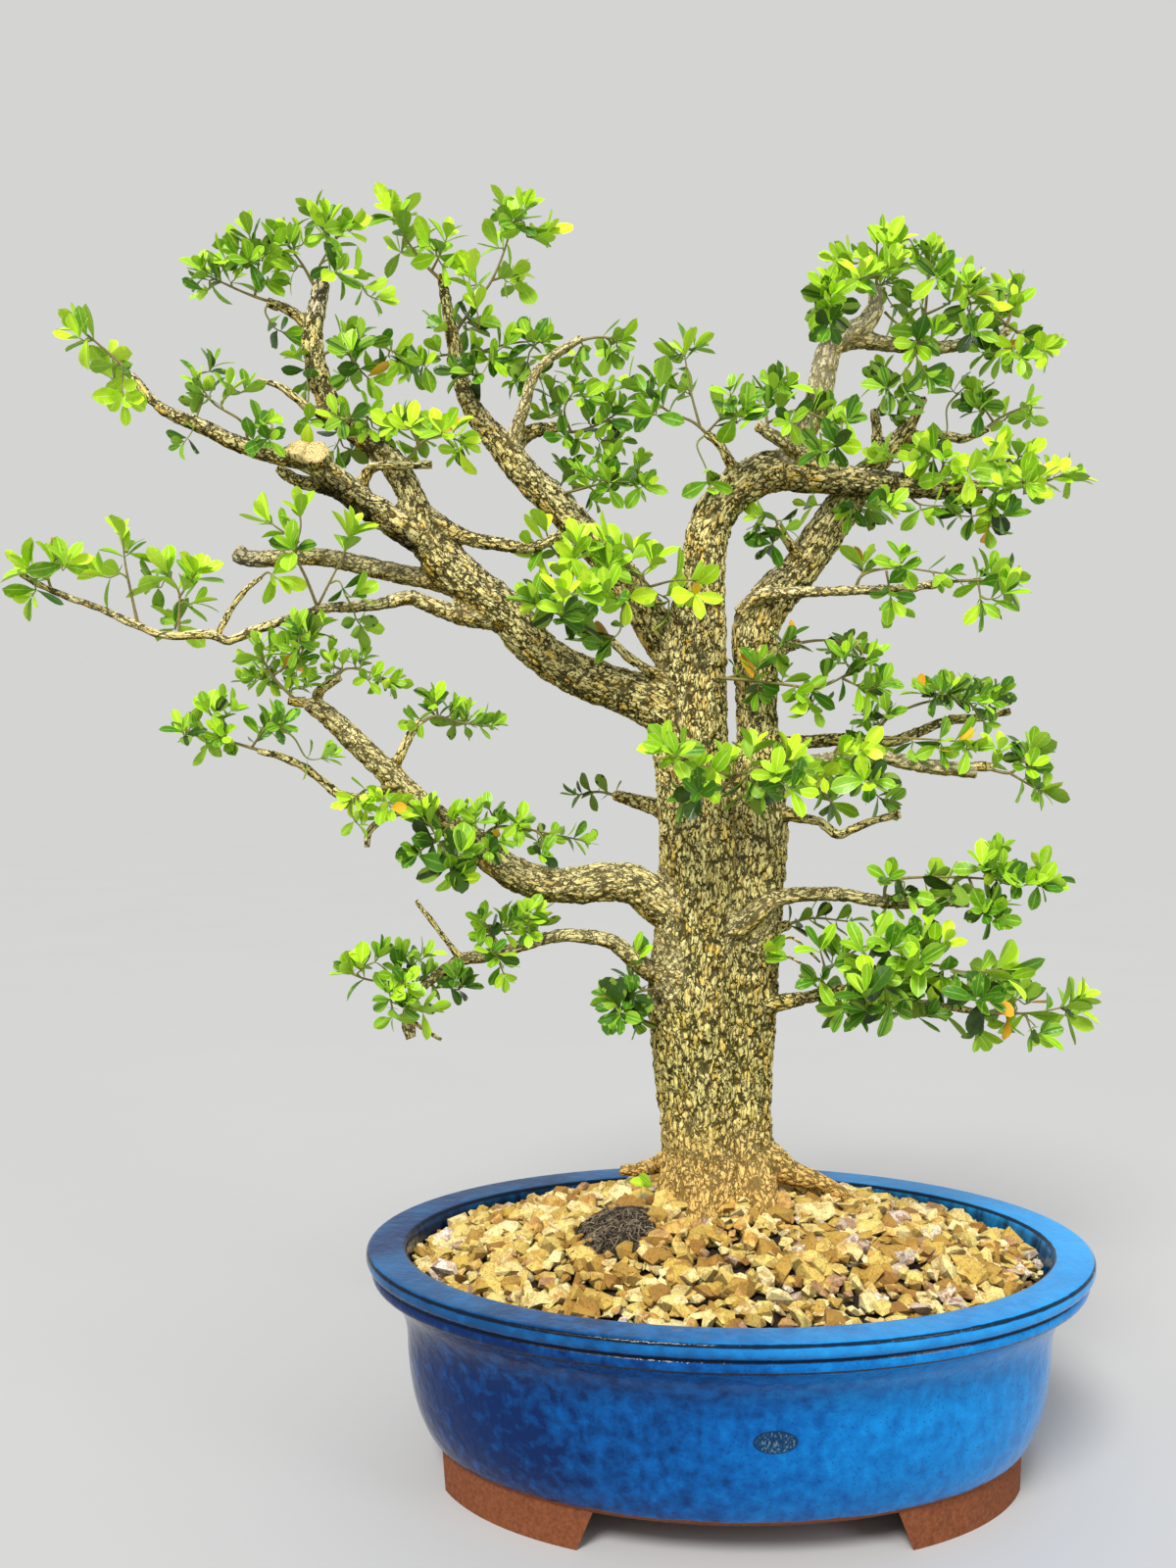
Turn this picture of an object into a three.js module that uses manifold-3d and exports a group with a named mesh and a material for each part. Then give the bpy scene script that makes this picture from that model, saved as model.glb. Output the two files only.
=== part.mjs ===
// A boxwood bonsai with a thick double trunk in an oval glazed pot, seen from its front (-Y).
// Millimetres, +Z up. The tree leans and spreads to the left (-X).

import * as THREE from "three";
import { mergeVertices } from "three/addons/utils/BufferGeometryUtils.js";
import Module from "manifold-3d";

const wasm = await Module();
wasm.setup();

// Driving dimensions of the pot.
const POT_LENGTH = 453;
const POT_DEPTH = 320;
const POT_HEIGHT = 140;
const RIM_WIDTH = 25;
const FLOOR_UNDERSIDE = 21;
const FLOOR_TOP = 34;
const FOOT_WIDTH = 15;
const FRONT_FOOT_GAP = 188;
const SIDE_FOOT_GAP = 76;
const DRAIN_RADIUS = 15;
const DRAIN_SPACING = 170;
const POT_SIDES = 32;

// The trunk stands a little to the right of the pot's middle, which is at this x.
const POT_X = -3.5;

// Driving dimensions of what fills the pot.
const GRAVEL_EDGE_HEIGHT = 125;
const GRAVEL_CROWN_HEIGHT = 168;
const GRAVEL_DEPTH = 9;
const STONE_PITCH = 19;
const CLUMP = { x: -73, y: -34, length: 57, depth: 58 };

// Driving dimensions of the foliage: blades are larger than life so that they cover the sprays.
const LEAF_LENGTH = 25;
const LEAF_WIDTH = 15;
const LEAF_THICKNESS = 1.5;
const LEAF_SPACING = 44;
const FIRST_LEAF = 24;
const TWIG_RADIUS = 1.5;

// Clear gap left between two pieces that touch.
const GAP = 0.32;

// Branch points are written as seen from the front: x and z where the line of sight from EYE
// crosses the plane y = 0, then the depth y, then the radius.
const EYE = new THREE.Vector3(-91, -838, 427);

const LEAF_TONES = { young: 0xa2cc3c, green: 0x78a834, old: 0x46782c };

let seed = 20260;

/** Seeded random number from 0 to 1. */
function random() {
  seed = (seed * 1664525 + 1013904223) % 4294967296;
  return seed / 4294967296;
}

/** Seeded random number from -size to size. */
function jitter(size) {
  return (random() * 2 - 1) * size;
}

/** Turns a point written as seen from the front into its true place and radius. */
function place([x, z, y, radius = 0]) {
  const reach = (y - EYE.y) / -EYE.y;
  const at = new THREE.Vector3(EYE.x + (x - EYE.x) * reach, y, EYE.z + (z - EYE.z) * reach);
  return { at, radius: radius * reach };
}

/** Makes a boolean solid from a closed three.js geometry. */
function solid(geometry) {
  const bare = geometry.clone();
  bare.deleteAttribute("normal");
  bare.deleteAttribute("uv");
  const merged = mergeVertices(bare, 1e-4);
  const corners = merged.index.array;
  const kept = [];
  for (let i = 0; i < corners.length; i += 3) {
    const [a, b, c] = [corners[i], corners[i + 1], corners[i + 2]];
    if (a !== b && b !== c && c !== a) {
      kept.push(a, b, c);
    }
  }
  return new wasm.Manifold(new wasm.Mesh({
    numProp: 3,
    vertProperties: new Float32Array(merged.attributes.position.array),
    triVerts: new Uint32Array(kept),
  }));
}

/** Turns a boolean solid back into a three.js geometry. */
function geometryOf(body) {
  const mesh = body.getMesh();
  const geometry = new THREE.BufferGeometry();
  geometry.setAttribute("position", new THREE.BufferAttribute(mesh.vertProperties, 3));
  geometry.setIndex(new THREE.BufferAttribute(mesh.triVerts, 1));
  geometry.computeVertexNormals();
  return geometry;
}

/** Joins solids into one. */
function join(bodies) {
  return wasm.Manifold.union(bodies);
}

/** Keeps the largest connected body, so loose scraps are dropped and sealed hollows filled. */
function largest(body) {
  return body.decompose().reduce((best, next) => (next.volume() > best.volume() ? next : best));
}

/** Bounding box of a boolean solid. */
function boxOf(body) {
  const { min, max } = body.boundingBox();
  return new THREE.Box3(new THREE.Vector3(...min), new THREE.Vector3(...max));
}

/** Rings of a limb along a curve through points [x, z, y, radius] written as seen. */
function ringsAlong(points) {
  const stations = points.map(place);
  const path = new THREE.CatmullRomCurve3(stations.map((s) => s.at), false, "centripetal");
  let across = new THREE.Vector3(0, 1, 0);
  return stations.map(({ at, radius }, k) => {
    const along = path.getTangent(k / (stations.length - 1)).normalize();
    across = across.clone().addScaledVector(along, -across.dot(along)).normalize();
    return { centre: at, along, across, side: new THREE.Vector3().crossVectors(across, along), radius };
  });
}

/**
 * A tapering limb through points [x, z, y, radius] written as seen.
 * grow widens it all round; swell gives a thick limb its uneven outline.
 */
function limb(points, { sides, grow = 0, swell = 0 }) {
  const rings = ringsAlong(points);
  const steps = rings.length - 1;
  rings[0].centre.addScaledVector(rings[0].along, -grow);
  rings[steps].centre.addScaledVector(rings[steps].along, grow);
  const geometry = new THREE.CylinderGeometry(1, 1, 1, sides, steps);
  const position = geometry.attributes.position;
  for (let i = 0; i < position.count; i += 1) {
    const step = Math.round((position.getY(i) + 0.5) * steps);
    const ring = rings[step];
    const turn = Math.atan2(position.getZ(i), position.getX(i));
    const uneven = 1 + swell * Math.sin(3 * turn + step * 1.3) * Math.sin(step * 2.1 + 1);
    const width = ring.radius * uneven + grow;
    const point = ring.centre.clone();
    point.addScaledVector(ring.across, position.getX(i) * width);
    point.addScaledVector(ring.side, position.getZ(i) * width);
    position.setXYZ(i, point.x, point.y, point.z);
  }
  return solid(geometry);
}

/** Half-depth of the oval whose half-length is r. */
function ovalDepth(r) {
  const inset = (POT_LENGTH - POT_DEPTH) / 2;
  const wall = 185;
  return r >= wall ? r - inset : (r * (wall - inset)) / wall;
}

/** A solid of revolution about +Z through profile points [half-length, z], pressed into an oval. */
function oval(profile, sides = POT_SIDES) {
  const geometry = new THREE.LatheGeometry(profile.map(([r, z]) => new THREE.Vector2(r, z)), sides);
  const position = geometry.attributes.position;
  for (let i = 0; i < position.count; i += 1) {
    const [x, y, z] = [position.getZ(i), position.getX(i), position.getY(i)];
    const r = Math.hypot(x, y);
    position.setXYZ(i, x, r > 0.01 ? (y * ovalDepth(r)) / r : 0, z);
  }
  return solid(geometry);
}

/** The glazed pot: rolled rim over a second bead, hollow neck, bowed wall and four feet. */
function pot() {
  const edge = POT_LENGTH / 2;
  const top = POT_HEIGHT;
  const body = oval([
    [0, FLOOR_UNDERSIDE],
    [edge - 46, FLOOR_UNDERSIDE],
    [edge - 38.5, 28],
    [edge - 30, 47],
    [edge - 26, 74],
    [edge - 26, 94],
    [edge - 20, 108],
    [edge - 11, 118],
    [edge - 4, 124],
    [edge - 4, 129],
    [edge, 131.5],
    [edge, top - 2],
    [edge - 2, top],
    [edge - RIM_WIDTH, top],
    [edge - RIM_WIDTH - 9, 96],
    [edge - RIM_WIDTH - 16, 44],
    [edge - RIM_WIDTH - 26, FLOOR_TOP],
    [0, FLOOR_TOP],
  ]);
  const ring = oval([
    [edge - 45, 0],
    [edge - 44, FLOOR_UNDERSIDE + 3],
    [edge - 46 - FOOT_WIDTH, FLOOR_UNDERSIDE + 3],
    [edge - 45 - FOOT_WIDTH, 0],
    [edge - 45, 0],
  ]);
  const arch = new THREE.CylinderGeometry(0.5, 0.5 * 1.12, 1, 4, 1);
  arch.rotateY(Math.PI / 4).scale(Math.SQRT2, 1, Math.SQRT2).rotateX(Math.PI / 2);
  const frontCut = solid(arch.clone().scale(FRONT_FOOT_GAP * 0.94, POT_DEPTH, FLOOR_UNDERSIDE * 2));
  const sideCut = solid(arch.clone().scale(POT_LENGTH, SIDE_FOOT_GAP * 0.94, FLOOR_UNDERSIDE * 2));
  const feet = ring.subtract(frontCut).subtract(sideCut);
  const drains = [-1, 1].map((way) => {
    const hole = new THREE.CylinderGeometry(DRAIN_RADIUS, DRAIN_RADIUS, 60, 16);
    hole.rotateX(Math.PI / 2).translate((way * DRAIN_SPACING) / 2, 0, FLOOR_TOP);
    return solid(hole);
  });
  return join([body, feet]).subtract(join(drains)).translate([POT_X, 0, 0]);
}

/** Height of the top of the gravel bed at half-length r, mounded round the trunk. */
function moundHeight(r) {
  const fall = THREE.MathUtils.clamp(r / (POT_LENGTH / 2 - RIM_WIDTH), 0, 1);
  return GRAVEL_CROWN_HEIGHT - (GRAVEL_CROWN_HEIGHT - GRAVEL_EDGE_HEIGHT) * fall ** 1.6;
}

/** Everything below the mound lowered by drop. */
function underMound(drop) {
  const reach = POT_LENGTH / 2 - RIM_WIDTH + 9;
  const slope = [1, 0.72, 0.42, 0].map((part) => [reach * part, moundHeight(reach * part) - drop]);
  return oval([[0, 0], [reach, 0], ...slope], POT_SIDES / 2);
}

/** The soil that fills the pot under the gravel. */
function soil() {
  const edge = POT_LENGTH / 2 - RIM_WIDTH - GAP;
  const filling = oval([
    [0, FLOOR_TOP + GAP],
    [edge - 27, FLOOR_TOP + GAP],
    [edge - 16.6, 44],
    [edge - 9.2, 96],
    [edge - 1, POT_HEIGHT],
    [0, 200],
  ]);
  return filling.intersect(underMound(GRAVEL_DEPTH + GAP)).translate([POT_X, 0, 0]);
}

/**
 * The covering of crushed stones: a bed whose top rises to an angular point over each stone
 * and sinks between them, on a jittered triangular grid, with stones larger than life.
 */
function gravel() {
  const edge = POT_LENGTH / 2 - RIM_WIDTH - GAP;
  const rows = Math.ceil(POT_DEPTH / (STONE_PITCH * 0.87));
  const columns = Math.ceil(POT_LENGTH / STONE_PITCH + rows / 2);
  const block = new THREE.BoxGeometry(columns, rows, 1, columns, rows, 1);
  const position = block.attributes.position;
  const jitters = Array.from({ length: (columns + 1) * (rows + 1) }, () => [jitter(1), jitter(1), random()]);
  for (let i = 0; i < position.count; i += 1) {
    const column = Math.round(position.getX(i) + columns / 2);
    const row = Math.round(position.getY(i) + rows / 2);
    const [pushX, pushY, lift] = jitters[row * (columns + 1) + column];
    const x = (column - row / 2 - columns / 2 + rows / 4 + pushX * 0.2) * STONE_PITCH;
    const y = (row - rows / 2 + pushY * 0.2) * STONE_PITCH * 0.87;
    const rank = (column + row) % 3;
    const rise = [4 + 3 * lift, 4 * lift - 1, -2 - lift][rank];
    const top = moundHeight(Math.hypot(x, (y * POT_LENGTH) / POT_DEPTH)) + rise;
    position.setXYZ(i, x, y, position.getZ(i) > 0 ? top : 60);
  }
  const inside = oval([[0, 90], [edge - 11, 90], [edge - 0.6, 138], [edge - 6, 200], [0, 200]]);
  return solid(block).intersect(inside).subtract(underMound(GRAVEL_DEPTH)).translate([POT_X, 0, 0]);
}

/** The dark fibrous clump that lies open in the gravel, left of the trunk. */
function clump(grow) {
  const dome = new THREE.SphereGeometry(1, 14, 8);
  const high = moundHeight(Math.hypot(CLUMP.x, CLUMP.y)) + 5;
  dome.rotateX(Math.PI / 2);
  dome.scale(CLUMP.length / 2 + grow, CLUMP.depth / 2 + grow, 13 + grow);
  dome.rotateZ(-0.3).translate(CLUMP.x, CLUMP.y, high - 11);
  const floor = new THREE.BoxGeometry(90, 90, 60);
  floor.translate(CLUMP.x, CLUMP.y, high - 12 - grow + 30);
  return solid(dome).intersect(solid(floor));
}

// Trunk and branches. Each row is one limb: its sides, then points [x, z, y, radius].
const TRUNK = [
  [[-16, 118, 6, 31], [-15, 150, 6, 33], [-15, 172, 6, 32], [-17, 196, 6, 27], [-20, 225, 6, 26.5],
    [-23, 262, 6, 28], [-24, 300, 6, 29.5], [-20, 350, 6, 27], [-21, 400, 6, 26.5], [-25, 440, 6, 24.5],
    [-27, 470, 5, 24], [-26, 500, 4, 22.5], [-23, 525, 3, 20], [-20, 548, 2, 15.5], [-16.5, 580, 1, 14],
    [-8, 602, 0, 13.4], [8, 617, 0, 13.4], [28, 625, 2, 13.4], [50, 622, 4, 11], [80, 619, 5, 9.5],
    [110, 616, 6, 8], [135, 614, 7, 7], [158, 613, 8, 6]],
  [[8, 118, 4, 22], [8, 165, 4, 22], [9, 200, 4, 17], [10, 240, 3, 16], [11, 300, 2, 18],
    [15, 350, 2, 17.5], [18, 395, 3, 18], [17, 435, 5, 16], [16, 470, 8, 13.5], [15, 500, 10, 14.5],
    [15, 525, 12, 15], [26, 545, 14, 14], [41, 560, 16, 12.5], [55, 580, 18, 12.5], [69, 600, 20, 12],
    [84, 620, 22, 9], [100, 640, 24, 6.5], [114, 656, 26, 4], [122, 672, 28, 3]],
];

const ROOTS = [
  [[10, 202, 0, 11], [24, 189, 2, 11.5], [40, 180, 4, 8], [58, 174, 7, 5.6], [76, 163, 10, 4.6]],
  [[-26, 190, 2, 15], [-36, 168, -2, 12.5], [-46, 150, -6, 10], [-56, 134, -10, 8]],
  [[-14, 190, 0, 16], [-16, 168, -12, 15], [-18, 148, -24, 12], [-20, 130, -34, 9]],
  [[12, 192, 0, 13], [18, 168, -12, 12], [26, 146, -24, 9]],
  [[-12, 190, 22, 14], [-20, 172, 40, 9], [-26, 156, 56, 6]],
];

const MAIN_LIMBS = [
  // Lower left diagonal and the left crown that rises from it.
  [[-24, 462, 4, 18], [-50, 478, 2, 17], [-70, 486, 0, 14.5], [-90, 493, -3, 14], [-110, 503, -6, 13.5],
    [-127, 517, -9, 13.5], [-141, 534, -12, 14], [-157, 546, -14, 14], [-175, 561, -16, 14],
    [-190, 578, -18, 12.5], [-199, 596, -20, 10.5], [-205, 613, -20, 9], [-215, 630, -19, 9],
    [-230, 644, -17, 8], [-246, 656, -15, 7.5], [-257, 672, -13, 7.5], [-263, 691, -12, 7],
    [-266, 710, -11, 7], [-263, 728, -10, 6], [-259, 746, -9, 5]],
  // Limb to the far left, past the pruning scar.
  [[-185, 574, -20, 10], [-215, 593, -25, 10], [-235, 606, -29, 9.5], [-252, 620, -33, 9],
    [-267, 632, -36, 8.5], [-283, 634, -38, 6.2], [-300, 638, -39, 5.7], [-318, 645, -40, 5.4],
    [-336, 654, -41, 5], [-352, 660, -42, 4.5], [-366, 669, -43, 3.6], [-380, 686, -44, 2.4]],
  // Upper diagonal to the left peak.
  [[-26, 500, 8, 15], [-45, 520, 12, 13.5], [-60, 544, 16, 12], [-77, 567, 20, 11], [-96, 589, 24, 10.5],
    [-115, 608, 28, 10.5], [-133, 626, 31, 9.8], [-150, 646, 33, 8.4], [-164, 664, 34, 6.8],
    [-172, 684, 35, 5.7], [-176, 705, 36, 5], [-180, 728, 36, 4], [-184, 750, 36, 3.2]],
  // Low left branch that turns up to a pruned end.
  [[-24, 338, 4, 14], [-48, 352, 0, 13.5], [-62, 363, -4, 12.8], [-79, 365, -8, 12.8], [-100, 363, -12, 12],
    [-122, 365, -16, 11.5], [-140, 372, -20, 11], [-156, 384, -23, 10], [-172, 396, -26, 8.5],
    [-190, 409, -29, 7.8], [-205, 422, -32, 7.8], [-222, 438, -34, 7.8], [-240, 455, -36, 7.4],
    [-256, 470, -38, 6.8], [-269, 479, -39, 5.2]],
  // Lowest left branch.
  [[-26, 302, 0, 9], [-50, 308, -6, 7.4], [-62, 316, -10, 6.2], [-74, 326, -13, 5.4], [-88, 330, -16, 5],
    [-106, 331, -18, 4.6], [-122, 328, -20, 4.2], [-142, 322, -22, 4], [-158, 318, -24, 4.4],
    [-171, 316, -26, 4.2], [-184, 308, -28, 3.6], [-196, 298, -30, 3.4], [-204, 287, -32, 3.1],
    [-206, 276, -33, 2.8], [-203, 266, -34, 3.2]],
  // Pale limb at the upper right, and its long level arm.
  [[32, 626, 2, 9], [44, 648, -4, 9], [54, 668, -8, 9], [58, 688, -10, 8.6], [62, 702, -11, 8],
    [72, 711, -12, 7.5], [84, 718, -12, 6.6], [91, 729, -12, 5.6], [91, 742, -12, 4.6]],
  [[64, 705, -11, 6.6], [82, 708, -10, 5.7], [104, 705, -9, 5], [126, 703, -8, 4.4], [150, 706, -7, 4],
    [166, 710, -6, 3.5], [175, 714, -6, 2.8]],
];

const SIDE_LIMBS = [
  // Pruning scar and stubs of the left limbs.
  [[-266, 632, -34, 9], [-268, 640, -48, 11]],
  [[-246, 612, -29, 6], [-262, 616, -27, 5], [-275, 619, -26, 4.6], [-287, 627, -25, 3]],
  [[-236, 612, -28, 5], [-228, 627, -33, 3.6], [-210, 629, -36, 3.1], [-190, 629, -37, 2.5]],
  [[-194, 598, -20, 7], [-183, 591, -22, 5.8], [-167, 583, -24, 5.2], [-148, 579, -26, 4.8], [-125, 577, -28, 4],
    [-108, 585, -30, 2.8]],
  [[-160, 548, -14, 8], [-190, 556, -10, 6.8], [-215, 561, -6, 6.6], [-240, 567, -2, 6.2], [-265, 571, 2, 5.8],
    [-290, 570, 6, 5.6], [-306, 570, 8, 5.6], [-314, 574, 9, 6.2]],
  // Long thin branch to the far left.
  [[-144, 532, -13, 9], [-172, 534, -18, 7], [-190, 540, -22, 5.6], [-204, 545, -25, 5.2], [-222, 541, -28, 4.2],
    [-240, 539, -31, 4], [-258, 538, -33, 3.4], [-278, 532, -35, 3], [-298, 526, -37, 3], [-318, 518, -38, 3],
    [-330, 522, -39, 2.8], [-345, 521, -40, 2.7], [-362, 522, -41, 2.6], [-380, 529, -42, 2.5],
    [-400, 538, -43, 2.3], [-422, 546, -44, 2.1], [-440, 554, -45, 2], [-450, 560, -45, 1.9]],
  [[-326, 521, -39, 2], [-318, 536, -38, 1.8], [-308, 550, -37, 1.7], [-298, 558, -36, 1.3]],
  [[-268, 717, -11, 4.5], [-280, 727, -12, 3.6], [-294, 732, -14, 3]],
  [[-250, 659, -15, 4], [-262, 662, -18, 3.2], [-274, 670, -20, 3], [-286, 679, -22, 2.2], [-300, 683, -23, 1.6]],
  // Offshoots of the upper diagonal.
  [[-135, 630, 31, 5.6], [-137, 648, 28, 4.6], [-132, 664, 25, 4.2], [-126, 684, 22, 3.7], [-118, 694, 20, 3.3],
    [-104, 704, 17, 2.8], [-95, 710, 15, 2.3]],
  [[-140, 638, 32, 5], [-127, 650, 35, 5], [-110, 653, 38, 3.6]],
  [[-40, 494, -8, 5], [-54, 500, -14, 3.4], [-66, 508, -18, 3], [-78, 520, -22, 2.4]],
  // Offshoots of the low left branch.
  [[-264, 476, -38, 4.6], [-260, 487, -34, 3.2], [-248, 495, -30, 2.6]],
  [[-268, 478, -39, 4], [-281, 480, -41, 2.6]],
  [[-210, 427, -32, 4.4], [-232, 418, -37, 3.2], [-248, 420, -40, 3], [-258, 428, -41, 2.8], [-270, 437, -43, 2.7],
    [-285, 444, -45, 2.4], [-300, 448, -46, 2]],
  [[-216, 434, -33, 4.6], [-209, 447, -30, 3.1], [-203, 459, -27, 2.6], [-197, 467, -25, 2.2]],
  [[-194, 408, -30, 4], [-210, 409, -34, 2.5], [-222, 404, -36, 2.3], [-230, 396, -38, 2.2], [-231, 387, -39, 2]],
  // Offshoots of the lowest left branch.
  [[-172, 317, -26, 2.6], [-180, 327, -28, 1.8], [-190, 340, -30, 1.7], [-200, 353, -32, 1.4]],
  [[-204, 278, -33, 1.8], [-194, 271, -36, 1.2], [-184, 265, -38, 1]],
  // Stubs and twigs of the curved top of the left trunk.
  [[60, 624, 2, 6], [44, 636, -9, 4.6], [30, 645, -14, 4.3], [15, 655, -17, 4.3]],
  [[4, 620, -4, 5], [-6, 640, -10, 3], [-16, 649, -13, 2.6]],
  [[92, 632, 24, 5], [92, 650, 29, 3.6], [90, 664, 31, 2.8]],
  [[102, 644, 25, 5], [128, 648, 28, 3.3], [148, 646, 30, 2.7], [162, 652, 31, 2.2]],
  [[45, 568, 10, 5], [36, 580, 3, 3.2], [29, 591, -1, 2.6]],
  // Level branches at the right, from the top down.
  [[6, 534, 4, 7], [18, 546, -5, 5.2], [34, 548, -9, 4.3], [60, 549, -11, 3.6], [90, 550, -14, 3.2],
    [112, 551, -17, 2.8], [140, 555, -19, 2.2]],
  [[20, 450, 9, 7], [50, 454, 14, 4.8], [74, 455, 17, 4.5], [100, 454, 19, 4], [118, 460, 21, 3.6],
    [136, 467, 22, 3.1], [155, 469, 23, 2.7], [176, 473, 24, 2.2]],
  [[16, 432, -2, 8], [45, 440, -8, 5.6], [70, 443, -12, 5.2], [95, 444, -16, 5], [115, 440, -19, 5],
    [135, 437, -21, 5], [156, 435, -23, 5.2]],
  [[148, 438, -22, 3.6], [166, 438, -24, 2.5]],
  [[24, 412, -4, 7], [42, 406, -8, 4], [56, 403, -10, 3.2], [67, 395, -12, 3], [80, 400, -14, 2.8],
    [94, 405, -16, 2.6], [107, 408, -18, 2.6]],
  [[0, 334, -10, 9], [14, 343, -16, 6.8], [27, 354, -18, 6], [45, 357, -20, 5.1], [70, 357, -22, 4.7],
    [100, 352, -24, 4.2], [128, 352, -26, 3.8], [150, 352, -27, 3]],
  [[16, 286, -6, 8], [38, 290, -14, 5.2], [52, 293, -20, 4.2], [70, 297, -26, 3.5], [95, 298, -31, 3],
    [118, 302, -35, 2.4]],
  [[70, 297, -26, 2.8], [100, 291, -24, 2.4], [130, 287, -22, 2.2], [154, 283, -20, 1.8]],
  // Limbs that grow away from the viewer.
  [[-4, 318, 20, 8], [14, 330, 44, 5.5], [36, 338, 66, 3.6]],
  [[-24, 400, 24, 9], [-48, 412, 48, 6], [-74, 420, 68, 3.8]],
  [[16, 500, 16, 8], [26, 510, 40, 5.5], [42, 516, 62, 3.6]],
  [[-78, 568, 22, 7], [-92, 580, 44, 4.6], [-104, 596, 60, 3.2]],
];

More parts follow.
